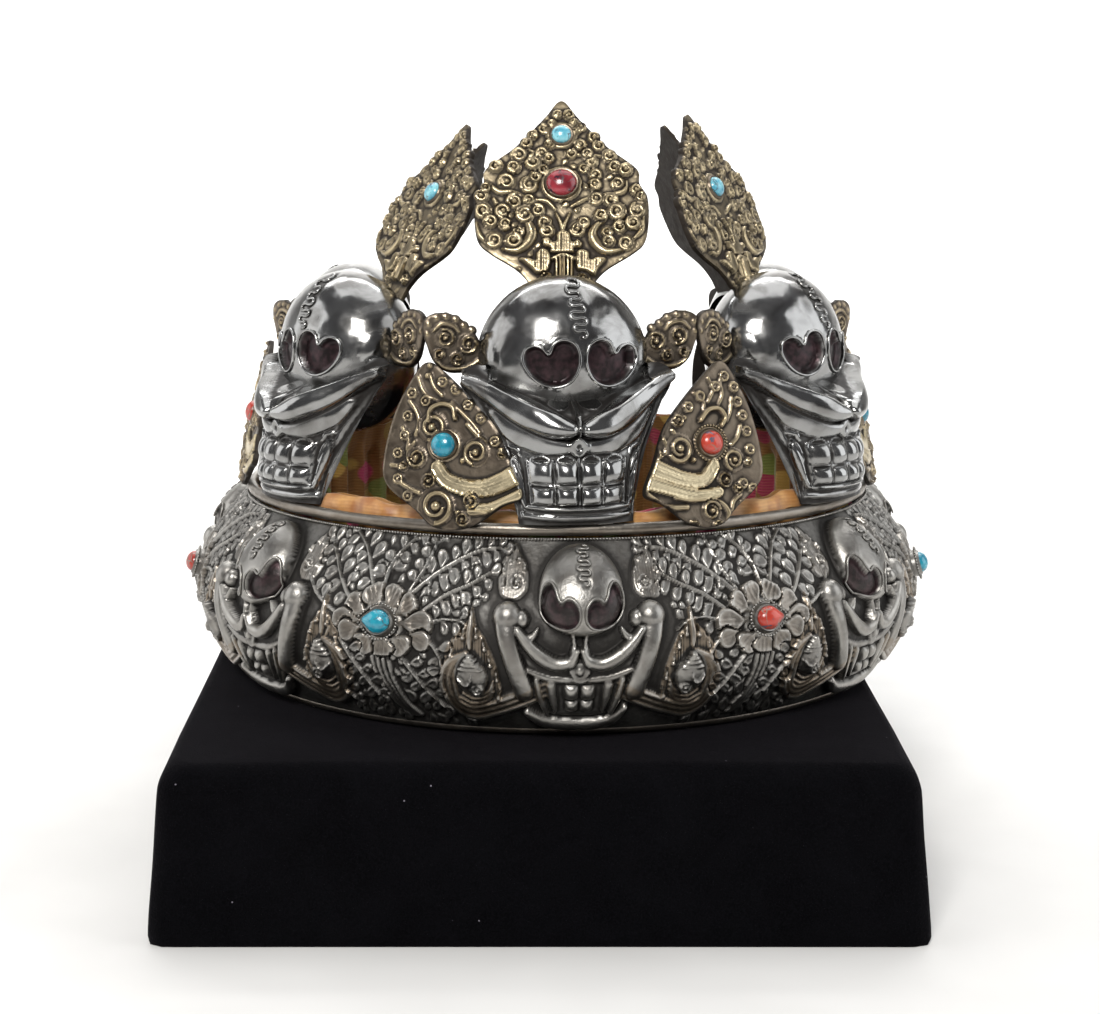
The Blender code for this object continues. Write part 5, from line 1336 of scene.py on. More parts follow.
def platePart(name, outline, circles, draw, cell, matrix, finish, nodes):
    # plate cut to an outline with round lobes, its face drawn on by draw(sheet)
    thickness = 1.3
    path = flowing(outline, 6, True)

    def distance(px, py):
        d = outlineDistance(px, py, path)
        for cx, cy, cr in circles:
            d = np.minimum(d, np.hypot(px - cx, py - cy) - cr)
        return d
    reach = max([c[2] for c in circles] or [0])
    x, y, quads, loop, used = plateSheet(distance, path.min(0) - reach, path.max(0) + reach, cell)
    sheet = newSheet(x, y)
    draw(sheet)
    h = sheet["h"] * (0.25 + 0.75 * smooth(-distance(x, y) / 0.7))
    grid = np.zeros(used.shape)
    grid[used] = h
    n, k, rim = len(x), np.arange(len(loop)), np.zeros(len(loop))
    points = np.vstack([np.stack([x, y, thickness + h], -1), np.stack([x[loop], y[loop], rim], -1)])
    walls = np.stack([n + k, n + (k + 1) % len(loop), np.roll(loop, -1), loop], -1)
    values = {"recess": np.concatenate([recessOf(grid, used)[used], rim + 0.8]),
              "warm": np.concatenate([sheet["warm"], rim]), "dark": np.zeros(n + len(loop))}
    obj = meshPiece(name, placed(matrix, points), np.vstack([quads, walls]), (), finish, values, 60.0,
                    loops=[(n + k)[::-1]])
    return finishPiece(obj, nodes)


# the finial's scrolls in its drawing's own units: from the left, down, radius
finialCurls = ((292, 575, 50), (430, 585, 48), (375, 690, 62), (545, 715, 60), (590, 655, 42),
               (655, 600, 42), (575, 545, 55), (468, 490, 58), (520, 400, 45), (565, 340, 40),
               (655, 290, 42), (760, 185, 35), (845, 190, 40), (935, 275, 38), (900, 310, 30),
               (1035, 355, 45), (1070, 420, 45), (930, 415, 40), (1150, 495, 50), (1185, 585, 48),
               (1270, 605, 48), (1210, 705, 50), (1040, 640, 45), (1035, 715, 45), (955, 590, 40),
               (1020, 545, 40), (185, 800, 55), (215, 735, 40), (1345, 755, 42), (1385, 805, 40),
               (435, 840, 60), (545, 835, 42), (1045, 815, 50), (1155, 830, 50), (200, 910, 60),
               (350, 910, 58), (515, 935, 62), (610, 905, 48), (1080, 945, 48), (1200, 915, 62),
               (1355, 905, 60), (258, 990, 48), (365, 1010, 45), (465, 1060, 45), (660, 995, 45),
               (680, 1060, 50), (905, 1045, 58), (950, 1000, 42), (1125, 1065, 40), (1220, 1030, 48),
               (1320, 1000, 52), (285, 1125, 58), (430, 1130, 58), (1135, 1140, 45), (1265, 1145, 55),
               (640, 480, 45), (700, 415, 38), (860, 480, 42), (880, 250, 30), (720, 250, 32),
               (700, 340, 30), (690, 520, 38), (980, 480, 42))
finialOutline = ((0.24, 0.0), (0.34, 0.125), (0.50, 0.205), (0.80, 0.28), (0.95, 0.335), (1.0, 0.43),
                 (0.99, 0.54), (0.90, 0.605), (0.87, 0.675), (0.53, 0.78), (0.20, 0.915), (0.0, 1.0))


finialDrawing = {"across": 0.0418, "left": -32.9, "down": -0.0458, "top": 76.4, "width": 55.2,
                 "length": 73.0}
# stems and ribbons between the scrolls: (from the left, down, half width in mm) and height
finialStems = (([(795, 1060, 0.8), (780, 1000, 0.7), (745, 930, 0.4)], 1.5),
               ([(795, 1060, 0.8), (815, 1000, 0.7), (850, 930, 0.4)], 1.5),
               ([(505, 950, 0.6), (545, 1010, 1.4), (565, 1080, 1.8), (530, 1150, 1.7), (450, 1205, 1.2),
                 (350, 1195, 0.5)], 1.5),
               ([(1110, 985, 0.5), (1050, 1020, 1.0), (1015, 1080, 1.5), (1040, 1150, 1.8),
                 (1120, 1210, 1.4), (1250, 1200, 0.5)], 1.5),
               ([(190, 680, 0.4), (250, 720, 0.8), (320, 770, 1.0), (420, 770, 0.8), (500, 800, 0.4)], 1.2),
               ([(1110, 785, 0.4), (1190, 785, 0.9), (1260, 760, 0.9), (1275, 690, 0.4)], 1.2),
               ([(280, 820, 0.5), (310, 880, 0.9), (300, 950, 0.5)], 1.1),
               ([(600, 830, 0.5), (680, 840, 0.8), (740, 900, 0.5)], 1.0),
               ([(860, 880, 0.5), (930, 840, 0.8), (1000, 810, 0.4)], 1.0),
               ([(545, 455, 0.4), (620, 490, 0.9), (700, 490, 0.5)], 1.0),
               ([(860, 500, 0.4), (960, 490, 0.9), (1080, 500, 0.5)], 1.0),
               ([(150, 1000, 0.4), (170, 1080, 0.9), (230, 1150, 0.5)], 1.1),
               ([(1400, 960, 0.4), (1385, 1050, 0.9), (1320, 1120, 0.5)], 1.1))
# lobed leaves either side of the reeded stem, and the tongue over it
finialLeaves = ([(470, 1262), (545, 1258), (592, 1272), (598, 1222), (640, 1190), (690, 1206), (712, 1258),
                 (704, 1320), (672, 1372), (600, 1376), (555, 1336)],
                [(1120, 1266), (1050, 1250), (1000, 1268), (992, 1216), (945, 1196), (896, 1212),
                 (884, 1280), (900, 1350), (960, 1362), (1030, 1392), (1062, 1340)],
                [(705, 1228), (698, 1192), (640, 1166), (640, 1120), (690, 1108), (725, 1138), (745, 1126),
                 (750, 1075), (800, 1055), (850, 1075), (857, 1112), (872, 1140), (905, 1122), (942, 1150),
                 (930, 1187), (884, 1192), (872, 1228)])


def finialSpot(u, v, wide=1.0, tall=1.0):
    drawing = finialDrawing
    return (drawing["across"] * u + drawing["left"]) * wide, (drawing["top"] + drawing["down"] * v) * tall


def drawFinial(stones, wide, tall):
    def spot(u, v):
        return finialSpot(u, v, wide, tall)

    def draw(sheet):
        sheet["h"] += 0.15
        for points, height in finialStems:
            stroke(sheet, [(*spot(u, v), half) for u, v, half in points], height, count=4)
        for outline in finialLeaves:
            field(sheet, [spot(*p) for p in outline][::-1], 1.8, 1.0, lines=(0.0, 0.9, 0.22))
        for k in range(5):  # the reeded stem, its collar and the scrolls at its foot
            u = 748 + 28 * k
            stroke(sheet, [spot(u, 1262), spot(u + 1, 1320), spot(u, 1420)], 1.9, width=0.60, count=3)
        stroke(sheet, [spot(722, 1268), spot(800, 1240), spot(880, 1268)], 1.9, width=0.75, count=4)
        for side, u in ((1, 672), (-1, 945)):
            curl(sheet, *spot(u, 1410), 2.3, 1.5, way=side, base=0.6)
        for k, (u, v, r) in enumerate(finialCurls):
            x, y = spot(u, v)
            if any(math.hypot(x - sx, y - sy) < sr * 0.55 + 1.0 for sx, sy, sr in stones):
                continue
            radius = r * 0.0485 * (0.5 * wide + 0.5 * tall) + 0.15
            curl(sheet, x, y, radius, 1.0 + 0.2 * math.sin(k * 1.7), 0.6 + 0.25 * math.sin(k * 2.3),
                 start=k * 1.3,
                 way=1 if (u > 795) == (k % 3 > 0) else -1, wide=0.23)
        for sx, sy, sr in stones:
            boss(sheet, sx, sy, sr * 0.5 + 1.9, sr * 0.5 + 1.6, 1.1, power=0.15)
        # small leaves close the gaps between scrolls
        x, y, h = sheet["x"], sheet["y"], sheet["h"]
        for _ in range(260):
            cx, cy, a = rng.uniform(-27, 27), rng.uniform(4, 70), rng.uniform(0, 6.28)
            spots = np.flatnonzero((np.abs(x - cx) < 0.9) & (np.abs(y - cy) < 0.9))
            if len(spots) and h[spots].max() < 0.5:
                leaflet(sheet, cx - 1.5 * math.cos(a), cy - 1.5 * math.sin(a), a, 3.2, 2.0, 0.9, lines=3)
    return draw


# the shape of each finial; its stones: share of the length, (long, wide, high), finish and lift
finialLooks = {"front": {"width": 55.2, "length": 73.0, "stones": (
                   ("front_upper", 0.83, 6.2, (6.2, 6.0, 3.0), turquoisePale, 1.5),
                   ("front_centre", 0.60, 9.2, (9.6, 8.8, 4.2), coralDark, 1.3))}}
stoneList = []
for name, steps, own, lean, reach in skullPlaces:
    look = finialLooks.get(name) or {"width": 53.5, "length": 67.2, "stones": (
        (name, 0.62, 7.0, (7.0, 6.6, 3.2), turquoisePale, 1.5),)}
    width, length = look["width"], look["length"]
    wide, tall = width / finialDrawing["width"], length / finialDrawing["length"]
    stones = [(0.0, share * length, size) for _, share, size, _, _, _ in look["stones"]]
    half = [(x * width / 2 * 0.985, y * length) for x, y in finialOutline]
    outline = half + [(-x, y) for x, y in half[-2::-1]]
    place = skullFrame(steps, 0.0) @ shift(0, -reach, 120.0) @ turn("X", 90 - lean)
    path = flowing(outline, 4, True)
    circles = []  # scrolls that meet the edge bulge out over it
    for u, v, r in finialCurls:
        x, y = finialSpot(u, v, wide, tall)
        if abs(outlineDistance(np.array([x]), np.array([y]), path)[0]) < 2.6:
            circles.append((x, y, min(r * 0.045, 2.6)))
    cell = 0.35 if name == "front" else (0.50 if "rear" not in name else 0.70)
    platePart("chased_finial_" + name, outline, circles, drawFinial(stones, wide, tall),
              cell / rough ** 0.7, place,
              finishes["gilt"], ("finial_" + name,))
    stoneList += [("finial_" + tag, place @ shift(0, share * length, lift), size, finish, False)
                  for tag, share, _, size, finish, lift in look["stones"]]
print("finials cut")

leafOutline = ((1.32, 0.235), (0.99, 0.167), (0.49, 0.035), (-0.04, 0.02), (-0.40, 0.12), (-0.91, 0.265),
               (-0.98, 0.44), (-0.85, 0.706), (-0.58, 0.93), (-0.39, 1.0), (-0.16, 0.96), (0.42, 0.774),
               (0.82, 0.617), (1.03, 0.459), (1.10, 0.403))
# name, degrees round the crown, own turn, way, size as a share, stone
leafPlaces = (("front_left", -19.0, 0.0, 1, 1.0, "turquoise"),
              ("front_right", 26.0, 0.0, -1, 0.92, "coral"), ("side_left", -84.0, 8.0, 1, 1.0, "coral"),
              ("side_right", 83.0, -8.0, -1, 1.0, "turquoise"),
              ("rear_left", -138.0, 0.0, 1, 1.0, "turquoise"), ("rear_right", 138.0, 0.0, -1, 1.0, "coral"))


# flat ribbon, widening, with raised edges and brushed lines along it
def strap(sheet, points, half, height=1.3):
    widths = half * np.linspace(0.8, 1.2, len(points))
    ribbon = [(x, y, w) for (x, y), w in zip(points, widths)]
    stroke(sheet, ribbon, height, count=7, flat=0.12, warm=1.0)
    line = flowing(ribbon, 5)
    step = np.gradient(line[:, :2], axis=0)
    side = np.stack([-step[:, 1], step[:, 0]], -1) / np.hypot(step[:, 0], step[:, 1])[:, None] * line[:, 2:]
    for share in (-0.95, 0.95):
        stroke(sheet, line[:, :2] + side * share, height + 0.35, width=0.42, count=1, warm=1.0)
    for share in (-0.45, -0.1, 0.3):
        stroke(sheet, line[:, :2] + side * share, 0.14, width=0.22, count=1, blend="cut")


# The two drawings of the leaf plates, each in units of about 0.04 mm. spot: mm across and up for a unit
# across, a unit down and the corner; veins: points, height, half width; straps: points, half width, height;
# scrolls: middle, radius, way; rosettes: middles of six-sided rings; dots: middle, radius, height
leafDrawings = {
    "one_ribbon": {
        "spot": ((0.0381, 0.0032, -23.0), (0.0019, -0.0359, 52.8)), "order": ("veins", "straps", "last"),
        "veins": (([(320, 220), (370, 350), (500, 430)], 0.9, 0.6),
                  ([(250, 420), (300, 500), (330, 600), (300, 700)], 1.0, 0.8),
                  ([(600, 440), (680, 520), (760, 600), (830, 690)], 1.1, 0.8),
                  ([(190, 640), (240, 740), (230, 820)], 1.0, 0.8),
                  ([(730, 620), (800, 700), (880, 770)], 1.2, 0.9),
                  ([(100, 950), (180, 960), (250, 940)], 1.2, 0.9),
                  ([(180, 1100), (260, 1150), (330, 1180)], 1.2, 0.9),
                  ([(420, 200), (450, 300), (520, 380)], 1.0, 0.7),
                  ([(290, 760), (240, 830), (240, 900)], 1.0, 0.7)),
        "straps": (([(480, 970), (560, 1080), (720, 1140), (880, 1140), (1020, 1090), (1130, 1030),
                     (1210, 1000)], 2.5, 1.3),
                   ([(740, 1300), (900, 1300), (1040, 1250), (1190, 1180)], 1.2, 1.1)),
        "last": (([(640, 1340), (760, 1350), (900, 1340)], 1.2, 0.8),),
        "scrolls": ((440, 640, 125, 1), (800, 850, 115, -1), (310, 890, 90, 1), (410, 1085, 70, -1),
                    (760, 1245, 74, 1),
                    (470, 1290, 160, 1), (690, 1395, 64, -1), (1010, 860, 50, -1), (200, 960, 46, -1)),
        "hood": [(410, 590), (430, 490), (520, 450), (610, 480), (630, 570)],
        "rosettes": ((525, 265), (635, 330), (735, 460), (840, 570), (955, 760), (270, 355), (385, 420),
                     (235, 545),
                     (210, 705), (150, 850), (150, 1065), (235, 1205)),
        "ring": (1.35, 0.7, 0.45), "bud": (0.8, 1.3),
        "dots": ((400, 215, 1.0, 1.6), (690, 915, 1.0, 1.6), (420, 130, 1.0, 1.6)),
        "seat": (5.4, 5.0)},
    "two_ribbons": {
        "spot": ((0.0400, -0.0045, -21.3), (-0.0027, -0.0352, 53.6)), "order": ("straps", "veins"),
        "straps": (([(650, 930), (560, 1060), (400, 1060), (250, 1010), (60, 930)], 2.2, 1.3),
                   ([(700, 1160), (560, 1190), (430, 1180), (250, 1130), (60, 1080)], 1.7, 1.1)),
        "veins": (([(330, 1210), (460, 1230), (600, 1215), (740, 1280), (780, 1400), (700, 1490)], 1.4,
                   1.0),
                  ([(60, 1160), (150, 1230), (250, 1290), (420, 1290)], 1.3, 1.1),
                  ([(600, 200), (640, 300), (600, 400)], 0.9, 0.7),
                  ([(700, 220), (720, 340), (680, 440)], 0.9, 0.7),
                  ([(480, 330), (560, 400), (560, 480)], 0.9, 0.7),
                  ([(290, 480), (320, 520), (400, 540)], 1.2, 0.9),
                  ([(800, 360), (790, 480), (760, 560)], 1.0, 0.7),
                  ([(880, 600), (850, 700), (800, 760)], 1.0, 0.8),
                  ([(300, 650), (340, 720), (330, 790)], 1.0, 0.8),
                  ([(220, 720), (250, 780), (240, 840)], 1.0, 0.8),
                  ([(880, 1180), (820, 1240), (800, 1320)], 1.0, 0.8)),
        "scrolls": ((360, 800, 125, 1), (820, 890, 100, -1), (745, 1055, 72, -1), (630, 1320, 95, 1),
                    (690, 1440, 56, -1),
                    (480, 1455, 64, 1), (185, 860, 46, -1), (340, 560, 62, 1), (940, 900, 46, 1),
                    (860, 1130, 52, 1)),
        "hood": [(530, 560), (600, 470), (690, 460), (740, 530), (710, 600)],
        "rosettes": ((735, 180), (660, 270), (530, 355), (430, 450), (820, 270), (850, 395), (895, 510),
                     (930, 645),
                     (960, 800), (900, 1090), (985, 1130), (915, 1265), (875, 1325)),
        "ring": (1.3, 0.75, 0.5), "bud": (0.7, 1.0), "dots": ((470, 895, 0.9, 2.2),), "seat": (5.6, 5.2)}}
stoneUp = 25.5  # of the leaf's stone above the leaf's foot


def drawLeaf(shape):
    def spot(u, v):
        (xu, xv, x0), (yu, yv, y0) = shape["spot"]
        return xu * u + xv * v + x0, yu * u + yv * v + y0

    def draw(sheet):
        sheet["h"] += 0.3
        for part in shape["order"]:
            for points, first, second in shape[part]:
                line = [spot(*p) for p in points]
                if part == "straps":
                    strap(sheet, line, first, second)
                else:
                    stroke(sheet, line, first, width=second)
        for u, v, r, way in shape["scrolls"]:
            curl(sheet, *spot(u, v), r * 0.037, 1.3, 0.6, start=u * 0.01, way=way)
        stroke(sheet, [spot(*p) for p in shape["hood"]], 1.8, width=0.9)
        (reach, height, half), (bud, rise) = shape["ring"], shape["bud"]
        for u, v in shape["rosettes"]:
            x, y = spot(u, v)
            ring = [(x + reach * math.cos(a), y + reach * math.sin(a)) for a in np.arange(6) * 1.047]
            stroke(sheet, ring, height, width=half, count=2, closed=True, base=0.4)
            boss(sheet, x, y, bud, bud, rise)
        for u, v, r, height in shape["dots"]:
            boss(sheet, *spot(u, v), r, r, height)
        boss(sheet, 0.0, stoneUp, *shape["seat"], 1.0, power=0.12)
    return draw


for name, degrees, own, side, share, stone in leafPlaces:
    half, tilt = 19.5 * share, math.radians(14)
    reach = band["rimRadius"] + 2.1 / math.cos(tilt) + 1.2 * math.tan(tilt)
    reach += half * 0.27 * abs(math.sin(math.radians(own)))
    place = shift(0, 0, crownBase + 59.0) @ turn("Z", degrees) @ shift(0, -reach, 0)
    place = place @ turn("Z", own) @ turn("X", 76)
    outline = [(side * x * half, y * 50.0) for x, y in leafOutline][::side]
    cell = 0.36 if "front" in name else 0.60
    platePart("chased_leaf_" + name, outline, (),
              drawLeaf(leafDrawings["one_ribbon" if side > 0 else "two_ribbons"]),
              cell / rough ** 0.7, place, finishes["leaf"], ("leaf_" + name,))
    tone = turquoiseBlue if stone == "turquoise" else coralRed
    stoneList.append(("leaf_" + name, place @ shift(0, stoneUp, 1.4), (7.4, 7.2, 3.6), tone, side < 0))
print("leaves cut")


earOutline = ((0.0, -6.7), (1.2, -8.2), (6.0, -8.9), (10.3, -8.5), (14.0, -5.5), (15.9, -0.8), (17.2, 3.4),
              (16.6, 7.0), (13.3, 8.8), (8.5, 8.5), (4.2, 5.8), (0.9, 1.6), (-0.6, -3.0))
# along the upper edge
earKnobs = ((15.4, 5.6), (13.0, 7.4), (10.2, 7.6), (7.4, 6.8), (5.0, 5.0), (2.6, 3.6))


def drawEar(side):
    def draw(sheet):
        sheet["h"] += 0.35
        for x, y, r, way in ((10.6, 1.6, 3.1, 1), (3.7, -0.2, 3.2, -1), (7.2, -4.6, 2.2, 1),
                             (12.4, -3.4, 1.9, -1)):
            curl(sheet, side * x, y, r, 1.1, 0.6, start=x, way=way * side)
        for x, y in earKnobs + ((0.8, 1.0), (15.8, 2.8)):
            boss(sheet, side * x, y, 1.2, 1.2, 0.7)
            boss(sheet, side * (x + 0.2), y - 0.2, 0.6, 0.6, 0.9)
        for points, height in (([(0.4, -5.4, 1.2), (4.4, -7.4, 0.9), (10.4, -7.4, 0.8), (13.8, -5.0, 0.6)],
                                1.1),
                               ([(6.6, 3.4, 0.6), (8.2, 5.2, 0.9), (11.6, 5.8, 0.8), (14.2, 3.6, 0.5)],
                                1.0)):
            stroke(sheet, moved(points, 0, side), height)
    return draw


for name, steps, own, _, _ in skullPlaces:
    for tag, side in (("left", -1), ("right", 1)):
        place = skullFrame(steps, own) @ shift(side * 24.85, -dome["out"], 113.5) @ turn("X", 90)
        outline = [(side * x, y) for x, y in earOutline][::side]
        circles = [(side * x, y, 1.5) for x, y in earKnobs]
        tag = name + "_" + tag
        platePart("ear_" + tag, outline, circles, drawEar(side), 0.40 / rough, place, finishes["leaf"],
                  ("ear_scroll_" + tag,))
print("ears cut")


# Stones

def girdle(length, width, drop, sides):
    # plan of a stone as a function of growth and height; drop draws one end of it to a point
    turns = np.arange(sides) / sides * 2 * math.pi
    end = np.clip(-np.cos(turns), 0, 1)
    across = np.sin(turns) * (1 - drop * end ** 2 * np.abs(np.sin(turns)) ** 0.5)
    along = np.cos(turns) * (1 + 0.22 * drop * end ** 6)

    def ring(height, grow=0.0, share=1.0):
        return np.stack([(length / 2 * share + grow) * along, (width / 2 * share + grow) * across,
                         np.full(sides, height)], -1)
    return ring


# cabochon: straight girdle, dome, flat base
def stonePart(name, matrix, size, finish, nodes, drop=0.0):
    length, width, rise = size
    sides, rings, girdleShare = 36, 10, 0.35
    ring = girdle(length, width, drop, sides)
    rows = [(1.0, 0.0), (1.0, girdleShare)]
    turns = np.linspace(0.12, 1.5, rings)
    rows += [(math.cos(a), girdleShare + (1 - girdleShare) * math.sin(a)) for a in turns]
    points = [ring(rise * height, share=share) for share, height in rows]
    points = np.vstack(points + [[(0, 0, 0)], [(0, 0, rise)]])
    count, k = len(rows), np.arange(sides)
    foot, tip, last = np.full(sides, count * sides), np.full(sides, count * sides + 1), (count - 1) * sides
    tris = np.vstack([np.stack([(k + 1) % sides, k, foot], -1),
                      np.stack([last + k, last + (k + 1) % sides, tip], -1)])
    obj = meshPiece(name, placed(matrix, points), gridQuads(count, sides, closed=True), tris, finish)
    return finishPiece(obj, nodes)


def bezelPart(name, matrix, size, beaded, drop, finish):
    # strap of metal round the girdle, leaning in over it, and a ring of beads where the photo shows one
    length, width, rise = size
    sides, foot = 48, -1.2
    ring = girdle(length, width, drop, sides)
    strapRows = ((1.0, foot), (1.0, 0.3), (0.85, rise * 0.30), (0.45, rise * 0.46), (0.02, rise * 0.44),
                 (-0.05, rise * 0.30), (0.05, foot))
    points = np.vstack([ring(height, grow) for grow, height in strapRows])
    quads = gridQuads(len(strapRows), sides, closed=True, around=True)
    obj = meshPiece(name, placed(matrix, points), quads, (), finish,
                    {"recess": np.full(len(points), 0.30), "warm": np.zeros(len(points))})
    finishPiece(obj)
    if beaded:
        beadRing(name + "_beads", placed(matrix, ring(0.9, 1.75)),
                 {"Spacing": 1.0 * mm, "Radius": 0.46 * mm, "Variation": 0.06}, finish)


def stoneSet(name, matrix, lift, size, tone, beaded, node, drop=0.0, finish=finishes["leaf"]):
    stonePart("gem_" + name, matrix @ shift(0, 0, lift), size, tone, (node,), drop)
    bezelPart("bezel_" + name, matrix, size, beaded, drop, finish)


for name, matrix, size, tone, beaded in stoneList:
    node = "stone_" + name if "stone_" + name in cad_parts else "stone_" + name + "_centre"
    stoneSet(name, matrix, 0.1, size, tone, beaded, node)
for tag, degrees, stone, way in flowerPlaces:
    matrix = bandFrame(degrees, flowerHeight, 1.6)
    if way < 0:
        matrix = matrix @ turn("Z", 180)
    tone = turquoiseBlue if stone == "turquoise" else coralRed
    stoneSet("band_" + tag, matrix, 0.2, (8.6, 7.0, 4.2), tone, True, "stone_band_" + tag, 0.55,
             finishes["chased"])
print("stones set")


# Rolls and beads of the band

def ringTube(name, radius, z, roll):  # rolled edge, a little uneven, as it is left by the hammer
    sides, steps = 12, 300
    a, b = np.meshgrid(np.arange(steps) / steps * 2 * math.pi, np.arange(sides) / sides * 2 * math.pi,
                       indexing="ij")
    r = roll * (1 + 0.05 * np.sin(a * 23) * np.sin(a * 9 + 1))
    ring = radius + r * np.cos(b)
    points = np.stack([ring * np.sin(a), -ring * np.cos(a), z + crownBase + r * np.sin(b)], -1)
    points = points.reshape(-1, 3)
    quads = np.roll(gridQuads(steps, sides, closed=True, around=True, flip=True), 1, axis=1)
    # lighter on top where it is rubbed, darker on the underside: the dark underside is painted shade
    values = {"recess": (0.25 - 0.2 * np.sin(b)).ravel(), "warm": np.full(len(points), 0.55)}
    return finishPiece(meshPiece(name, points, quads, (), finishes["chased"], values))


def ringPath(radius, z):
    a = np.arange(720) / 720 * 2 * math.pi
    return np.stack([radius * np.sin(a), -radius * np.cos(a), np.full(len(a), z + crownBase)], -1)


ringTube("rim_roll", band["rimRadius"], band["rimHeight"], band["rimRoll"])
ringTube("base_roll", band["base"] - 0.4, 1.9, band["baseRoll"])
for name, radius, height in (("rim_beads", 106.5, 57.7), ("base_beads", 113.3, 4.0)):
    beadRing(name, ringPath(radius, height), {"Spacing": 0.95 * mm, "Radius": 0.44 * mm, "Variation": 0.10},
             finishes["chased"])
print("wires laid")


# Cloth lining

def liningTop(angle):
    ruffle = 0.45 * np.sin(17 * angle) + 0.35 * np.sin(41 * angle + 1)
    return 64.6 + 6.8 * (1 - np.cos(angle)) / 2 + ruffle


def clothRing(name, cut, material, nodes):
    # cloth sewn round, its folds deeper or shallower on the way up; rows are shares of the top edge's height
    a = np.arange(liningSteps) / liningSteps * 2 * math.pi
    folds = cut["folds"]
    wander = sum(np.sin(a * k + cut["seed"] * k) / k for k in (3, 5, 8)) * 0.25
    fold = np.sin(a * folds + 2.2 * wander) + 0.35 * np.sin(a * folds * 2.3 + wander * 3)
    points, uv = [], []
    for k, (share, radius, depth) in enumerate(zip(cut["rows"], cut["radii"], cut["depths"])):
        z = cut["foot"] + (liningTop(a) - cut["foot"]) * share
        r = np.minimum(radius + depth * fold + 0.15 * np.sin(a * 61 + k), cut["most"])
        z = z + crownBase + 0.12 * np.sin(a * folds + 1)
        points.append(np.stack([r * np.sin(a), -r * np.cos(a), z], -1))
        uv.append(np.stack([a * cut["run"], np.full(len(a), share * cut["tall"])], -1))
    outer = np.array(points)
    inward = -outer * (1, 1, 0)
    inward /= np.linalg.norm(inward, axis=-1, keepdims=True)
    inner = outer + inward * cut["thickness"]
    both = np.vstack([outer.reshape(-1, 3), inner.reshape(-1, 3)])
    rows, n, k = len(outer), len(both) // 2, np.arange(liningSteps)
    after, top = (k + 1) % liningSteps, n - liningSteps
    upper = np.stack([top + k, top + after, n + top + after, n + top + k], -1)
    lower = np.stack([after, k, n + k, n + after], -1)
    quads = [gridQuads(rows, liningSteps, closed=True),
             gridQuads(rows, liningSteps, n, closed=True, flip=True), upper, lower]
    obj = meshPiece(name, both, np.vstack(quads), (), material, None, 80.0,
                    uv=np.vstack([np.vstack(uv)] * 2))
    return finishPiece(obj, nodes)


liningSteps = 560
clothEdges = {"foot": 0.3, "most": 102.9, "run": 103.0, "tall": 70.0}  # most: just inside the band's wall
brocadeCut = {**clothEdges, "folds": 64, "seed": 3, "thickness": 0.5,
              "rows": np.concatenate([np.linspace(0.0, 0.84, 9), np.linspace(0.88, 1.0, 5)]),
              "radii": [100.6] * 9 + [99.8, 99.4, 98.8, 98.1, 97.4],
              "depths": [0.8] * 3 + list(np.linspace(1.2, 1.8, 6)) + [0.7, 0.4, 0.4, 0.4, 0.3]}
bindingCut = {**clothEdges, "folds": 31, "seed": 7, "thickness": 0.45,
              "rows": [0.925, 0.945, 0.965, 0.985, 1.0, 1.004],
              "radii": [102.2, 102.1, 101.8, 101.3, 100.6, 100.2],
              "depths": [0.6, 0.8, 0.9, 0.9, 0.8, 0.7]}
lining = clothRing("lining_brocade", brocadeCut, brocade, ("lining",))
binding = clothRing("lining_binding", bindingCut, orangeSilk, ())
for cloth in (lining, binding):
    print(cloth.name, "two-sided area", round(sum(face.area for face in cloth.data.polygons), 5), "m2")
# the binding is sewn to the top edge of the wall of cloth
print("lining sewn")


# Display block

# the board under the velvet: widths and reach of its plan at the foot, where each side's middle lies, and
# how far the plan draws in at the top
boardPlan = {"height": 51.5, "frontWidth": 222.4, "backWidth": 246.5, "frontReach": 145.0,
             "backReach": 125.0,
             "frontMiddle": -5.3, "backMiddle": -9.8, "taper": 4.6, "corner": 6.0, "middle": (-7.5, -10.0)}


def blockCorners(z):
    taper = boardPlan["taper"] * z / boardPlan["height"]
    front, back = boardPlan["frontWidth"] / 2 - taper, boardPlan["backWidth"] / 2 - taper
    near, far = boardPlan["frontReach"] - taper / 2, boardPlan["backReach"] - taper / 2
    left, right = boardPlan["frontMiddle"], boardPlan["backMiddle"]
    return np.array([(left - front, -near), (left + front, -near), (right + back, far),
                     (right - back, far)])


